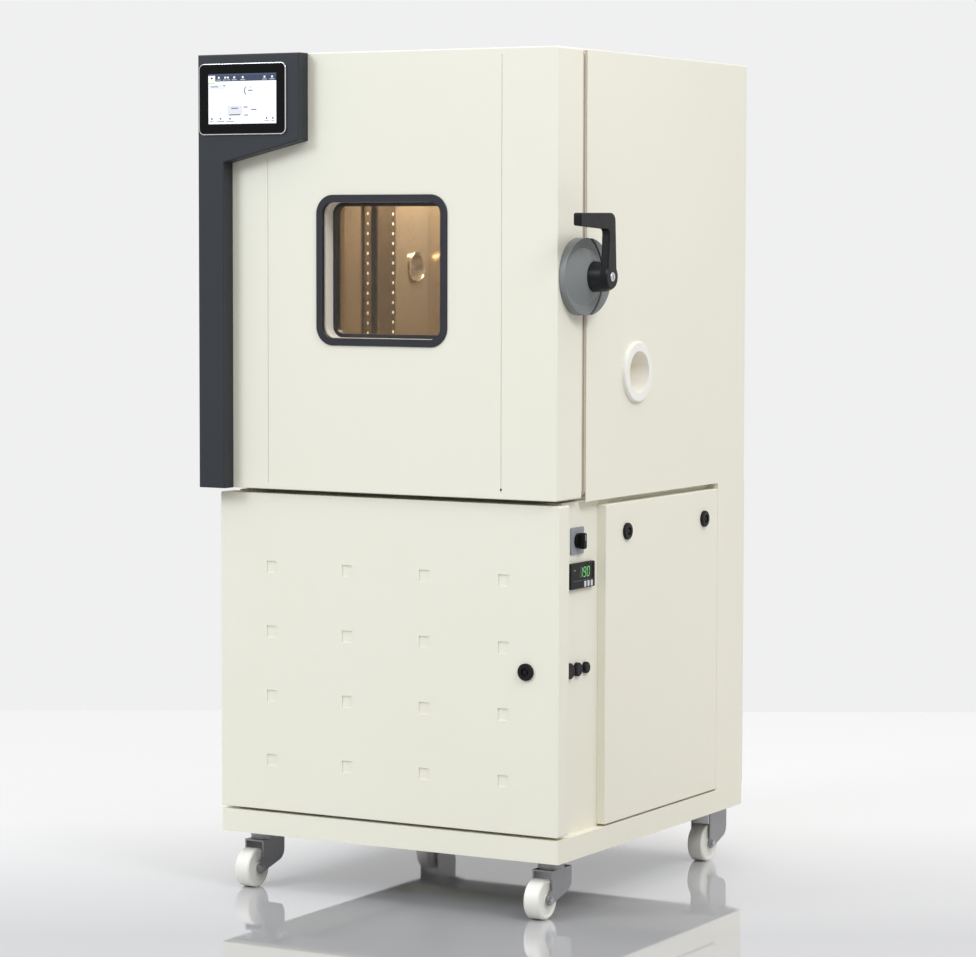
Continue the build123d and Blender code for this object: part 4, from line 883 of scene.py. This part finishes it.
def makeSeals():
    low, high = drawnBox("door_seal")
    railLow, railHigh = drawnBox("shelf_rails")
    inner, outer = seals["inner"], seals["outer"]
    routes = (
        ("innerSeal", inner, (railLow[2] + railHigh[2]) / 2, *inner["opening"]),
        ("outerSeal", outer, (low[2] + high[2]) / 2,
         high[0] - low[0] - outer["width"], high[2] - low[2] - outer["width"]),
    )
    tree = sealTree(frameParts["door_seal"][1].y)
    both = bmesh.new()
    for name, s, middleZ, wide, tall in routes:
        sizes = {"Width": s["width"] * mm, "Depth": seals["depth"] * mm, "Foot": seals["foot"] * mm}
        route = roundedPath(name + "Path", middleZ, wide, tall, s["radius"])
        both.from_mesh(runGroup(name, route, tree, sizes))
    bmesh.ops.remove_doubles(both, verts=both.verts, dist=1e-7)
    mesh = closeMesh(both, "doorSeals")
    smoothQuads(mesh, 40)
    piece = newPiece("doorSeals", mesh, "sealSilicone", "cabinet")
    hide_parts("door_seal")


makeSeals()
print("door seals swept")

# test space details: a steel ring round the left cable port and two strips between the shelf rails, a black
# one of painted shade and a near-white one of painted highlight

portRingSizes = {"across": 62.0, "thick": 1.0, "bore": 50.4, "bead": 2.2, "beadRise": 0.7,
                 "beadSteps": 6, "turns": 48, "off": 0.02}
stripSizes = {
    # front, back and rise of each strip
    "dark": (410.0, 427.0, 1.2), "bright": (437.0, 473.0, 8.0),
    "arcSteps": 14, "inset": 2, "sunk": 0.1, "least": 0.05,
}


def portRing():
    s = portRingSizes
    low, high = drawnBox("left_cable_port")
    y, z = (low[1] + high[1]) / 2, (low[2] + high[2]) / 2
    bm = bmesh.new()
    outer, inner, bead, thick, turns = s["across"] / 2, s["bore"] / 2, s["bead"], s["thick"], s["turns"]
    # profile from the bore outwards: flat ring, then a rolled bead at its edge
    profile = [(inner, s["off"]), (inner, thick)]
    profile += [(outer - bead * (1 + math.cos(a)) / 2, thick + s["beadRise"] * bead * math.sin(a))
                for a in (math.pi * step / s["beadSteps"] for step in range(s["beadSteps"] + 1))]
    profile.append((outer, s["off"]))
    rows = [[bm.verts.new(at(high[0] + lift, y + radius * math.cos(2 * math.pi * n / turns),
                             z + radius * math.sin(2 * math.pi * n / turns))) for n in range(turns)]
            for radius, lift in profile]
    for first, second in zip(rows, rows[1:] + rows[:1]):
        for n in range(turns):
            bm.faces.new((first[n], first[(n + 1) % turns], second[(n + 1) % turns], second[n]))
    mesh = closeMesh(bm, "portRing")
    smoothQuads(mesh, 35)
    newPiece("portRing", mesh, "polishedSteel", "cabinet")


def wallStrip(name, y0, y1, rise, finish, slot):
    # one strip on each side wall, arched towards the test space
    s = stripSizes
    low, high = drawnBox("shelf_rails")
    steps = s["arcSteps"]
    arc = [(y0 + (y1 - y0) * n / steps, rise * math.sin(math.pi * n / steps)) for n in range(steps + 1)]
    outline = [(y0, -s["sunk"])] + [(y, max(h, s["least"])) for y, h in arc] + [(y1, -s["sunk"])]
    bm = bmesh.new()
    for side in (-1, 1):
        ends = [[bm.verts.new(at(side * (testSpaceWall() - h), y, z)) for y, h in outline]
                for z in (low[2] + s["inset"], high[2] - s["inset"])]
        for n in range(len(outline)):
            m = (n + 1) % len(outline)
            bm.faces.new((ends[0][n], ends[0][m], ends[1][m], ends[1][n]))
        bm.faces.new(ends[0])
        bm.faces.new(ends[1][::-1])
    mesh = closeMesh(bm, name)
    smoothQuads(mesh, 40)
    newPiece(name, mesh, finish, "cabinet")


portRing()
# a black strip of painted shade beside the rail
wallStrip("paintedShadeStrip", *stripSizes["dark"], "innerFrame", "dark_frame")
# a near-white arched strip of painted highlight beside the rail
wallStrip("paintedHighlightStrip", *stripSizes["bright"], "highlightWhite", "steel_sheet")
print("test space details made")

# a dark disc at the end of the right door groove, painted shade of a hole there, and a pointer line on the
# main switch

grooveHoleShade = {"size": {"Across": 0.0042, "Height": 0.0006}, "groove": 255.5, "lift": 18.0}
pointer = {"wide": 1.6, "tall": 11.0, "in": 3, "proud": 0.04, "sunk": 0.1, "tone": (0.8, 0.8, 0.8)}


def makeGrooveHoleShade():
    low = drawnBox("door_shell")[0]
    places = [(at(grooveHoleShade["groove"], low[1], low[2] + grooveHoleShade["lift"]), Vector((0, -1, 0)))]
    # a dark disc in the shadowHole finish: painted shade of the hole at the groove's end
    fillPlaces("grooveHoleShades", places, holeTree, grooveHoleShade["size"], "door", "shadowHole")


def makePointer():
    p = pointer
    low, high = drawnBox("switch_knob")
    middleY, top = (low[1] + high[1]) / 2, high[2] - p["in"]
    bm, ink = inkMesh()
    addSlab(bm, ink, (high[0] - p["sunk"], middleY - p["wide"] / 2, top - p["tall"]),
            (high[0] + p["proud"], middleY + p["wide"] / 2, top), p["tone"])
    mesh = closeMesh(bm, "switchPointer")
    newPiece("switchPointer", mesh, "keyWhite", "main_switch")


makeGrooveHoleShade()
makePointer()
print("marks made")

# room, lights and camera

photoCamera = {"sensor": 36, "lens": 124.554, "clip": (0.05, 60), "place": (3286.1, -5434.1, 1260.3),
               "turn": (85.9629786, -0.14184013, 29.42575749)}
studio = {
    "floorTone": (0.74, 0.74, 0.75), "floorRough": 0.02, "floorGloss": 2.1,
    # range and tone of the painted shade on the near floor
    "nearShade": (-0.6, 0.6), "nearShadowTone": (0.41, 0.41, 0.42),
    "backdrop": (0.87, 0.872, 0.88, 1), "softTone": (0.80, 0.78, 0.755, 1),
    "softStrength": (0.02, 1.6), "softHeight": (0.0, 0.57),
    "farEdge": 2.33, "side": 14.0, "near": 12.0,
}


def makeFloor():
    # its far edge lies across the camera's view, and its near part is painted darker, as painted shade under
    # and in front of the base
    s = studio
    yaw = math.radians(photoCamera["turn"][2])
    along = Vector((-math.sin(yaw), math.cos(yaw), 0))
    across = Vector((along.y, -along.x, 0))
    corners = [along * s["farEdge"] - across * s["side"], along * s["farEdge"] + across * s["side"],
               across * s["side"] - along * s["near"], -across * s["side"] - along * s["near"]]
    mesh = bpy.data.meshes.new("studioFloor")
    mesh.from_pydata(corners, [], [(3, 2, 1, 0)])
    floor = bpy.data.objects.new("studioFloor", mesh)
    scene.collection.objects.link(floor)
    mat, tree, shader = blankMaterial("floorGloss")
    coords = objectCoords(tree)
    cloud = blendColours(tree, noise(tree, coords, 0.7, 2.0), s["floorTone"],
                         tuple(c * 0.985 for c in s["floorTone"]))
    forward = addNode(tree, "ShaderNodeVectorMath", operation="DOT_PRODUCT")
    forward.inputs[1].default_value = along
    tree.links.new(coords, forward.inputs[0])
    # painted shade: the floor grows darker towards the camera, fading out just behind the base
    near = spread(tree, forward.outputs["Value"], 1.0, 0.0, *s["nearShade"])
    tree.links.new(blendColours(tree, near, cloud, s["nearShadowTone"]), shader.inputs["Base Color"])
    tree.links.new(spread(tree, noise(tree, coords, 3.0, 3.0), s["floorRough"], s["floorRough"] + 0.03),
                   shader.inputs["Roughness"])
    setSockets(shader, IOR=s["floorGloss"])
    mesh.materials.append(mat)


def makeWorld():
    s = studio
    world = bpy.data.worlds.new("studioWorld")
    scene.world = world
    world.use_nodes = True
    tree = world.node_tree
    seen = tree.nodes["Background"]
    seen.inputs["Color"].default_value = s["backdrop"]
    # soft light that comes mostly from above, so that little of it gets under the base
    soft = addNode(tree, "ShaderNodeBackground")
    soft.inputs["Color"].default_value = s["softTone"]
    height = addNode(tree, "ShaderNodeSeparateXYZ")
    tree.links.new(addNode(tree, "ShaderNodeTexCoord").outputs["Generated"], height.inputs[0])
    tree.links.new(spread(tree, height.outputs["Z"], *s["softStrength"], *s["softHeight"]),
                   soft.inputs["Strength"])
    mix = addNode(tree, "ShaderNodeMixShader")
    tree.links.new(addNode(tree, "ShaderNodeLightPath").outputs["Is Diffuse Ray"], mix.inputs["Fac"])
    tree.links.new(seen.outputs[0], mix.inputs[1])
    tree.links.new(soft.outputs[0], mix.inputs[2])
    tree.links.new(mix.outputs[0], tree.nodes["World Output"].inputs["Surface"])


# place, target, size, power and colour; a lamp with no target shines straight down
lights = {
    "frontSoft": ((-3.4, -5.4, 4.4), (0, 0, 0.8), (2.2, 2.2), 180, (0.79, 0.89, 1)),
    "rightSoft": ((2.9, -1.5, 3.5), (0.3, 0.2, 1.5), (1.2, 1.2), 55, (0.88, 0.94, 1)),
    "topSoft": ((0.4, 0.6, 4.2), (0, 0, 0.8), (3.0, 3.0), 26, (1, 1, 1)),
    "chamberLamp": (at(-90, 590, 1478), None, (0.3, 0.1), 4, (1.0, 0.82, 0.58)),
}


def makeLights():
    for name, (place, target, size, power, colour) in lights.items():
        data = bpy.data.lights.new(name, "AREA")
        data.shape = "RECTANGLE"
        data.size, data.size_y = size
        data.energy = power
        data.color = colour
        lamp = bpy.data.objects.new(name, data)
        scene.collection.objects.link(lamp)
        lamp.location = place
        if target is not None:
            lamp.rotation_mode = "QUATERNION"
            lamp.rotation_quaternion = (Vector(target) - Vector(place)).to_track_quat("-Z", "Y")


def makeCamera():
    c = photoCamera
    data = bpy.data.cameras.new("photoCamera")
    data.sensor_width = c["sensor"]
    data.lens = c["lens"]
    data.clip_start, data.clip_end = c["clip"]
    camera = bpy.data.objects.new("photoCamera", data)
    scene.collection.objects.link(camera)
    camera.location = at(*c["place"])
    camera.rotation_euler = [math.radians(a) for a in c["turn"]]
    scene.camera = camera


makeFloor()
makeWorld()
makeLights()
makeCamera()
scene.view_settings.view_transform = "Standard"
print("studio ready")
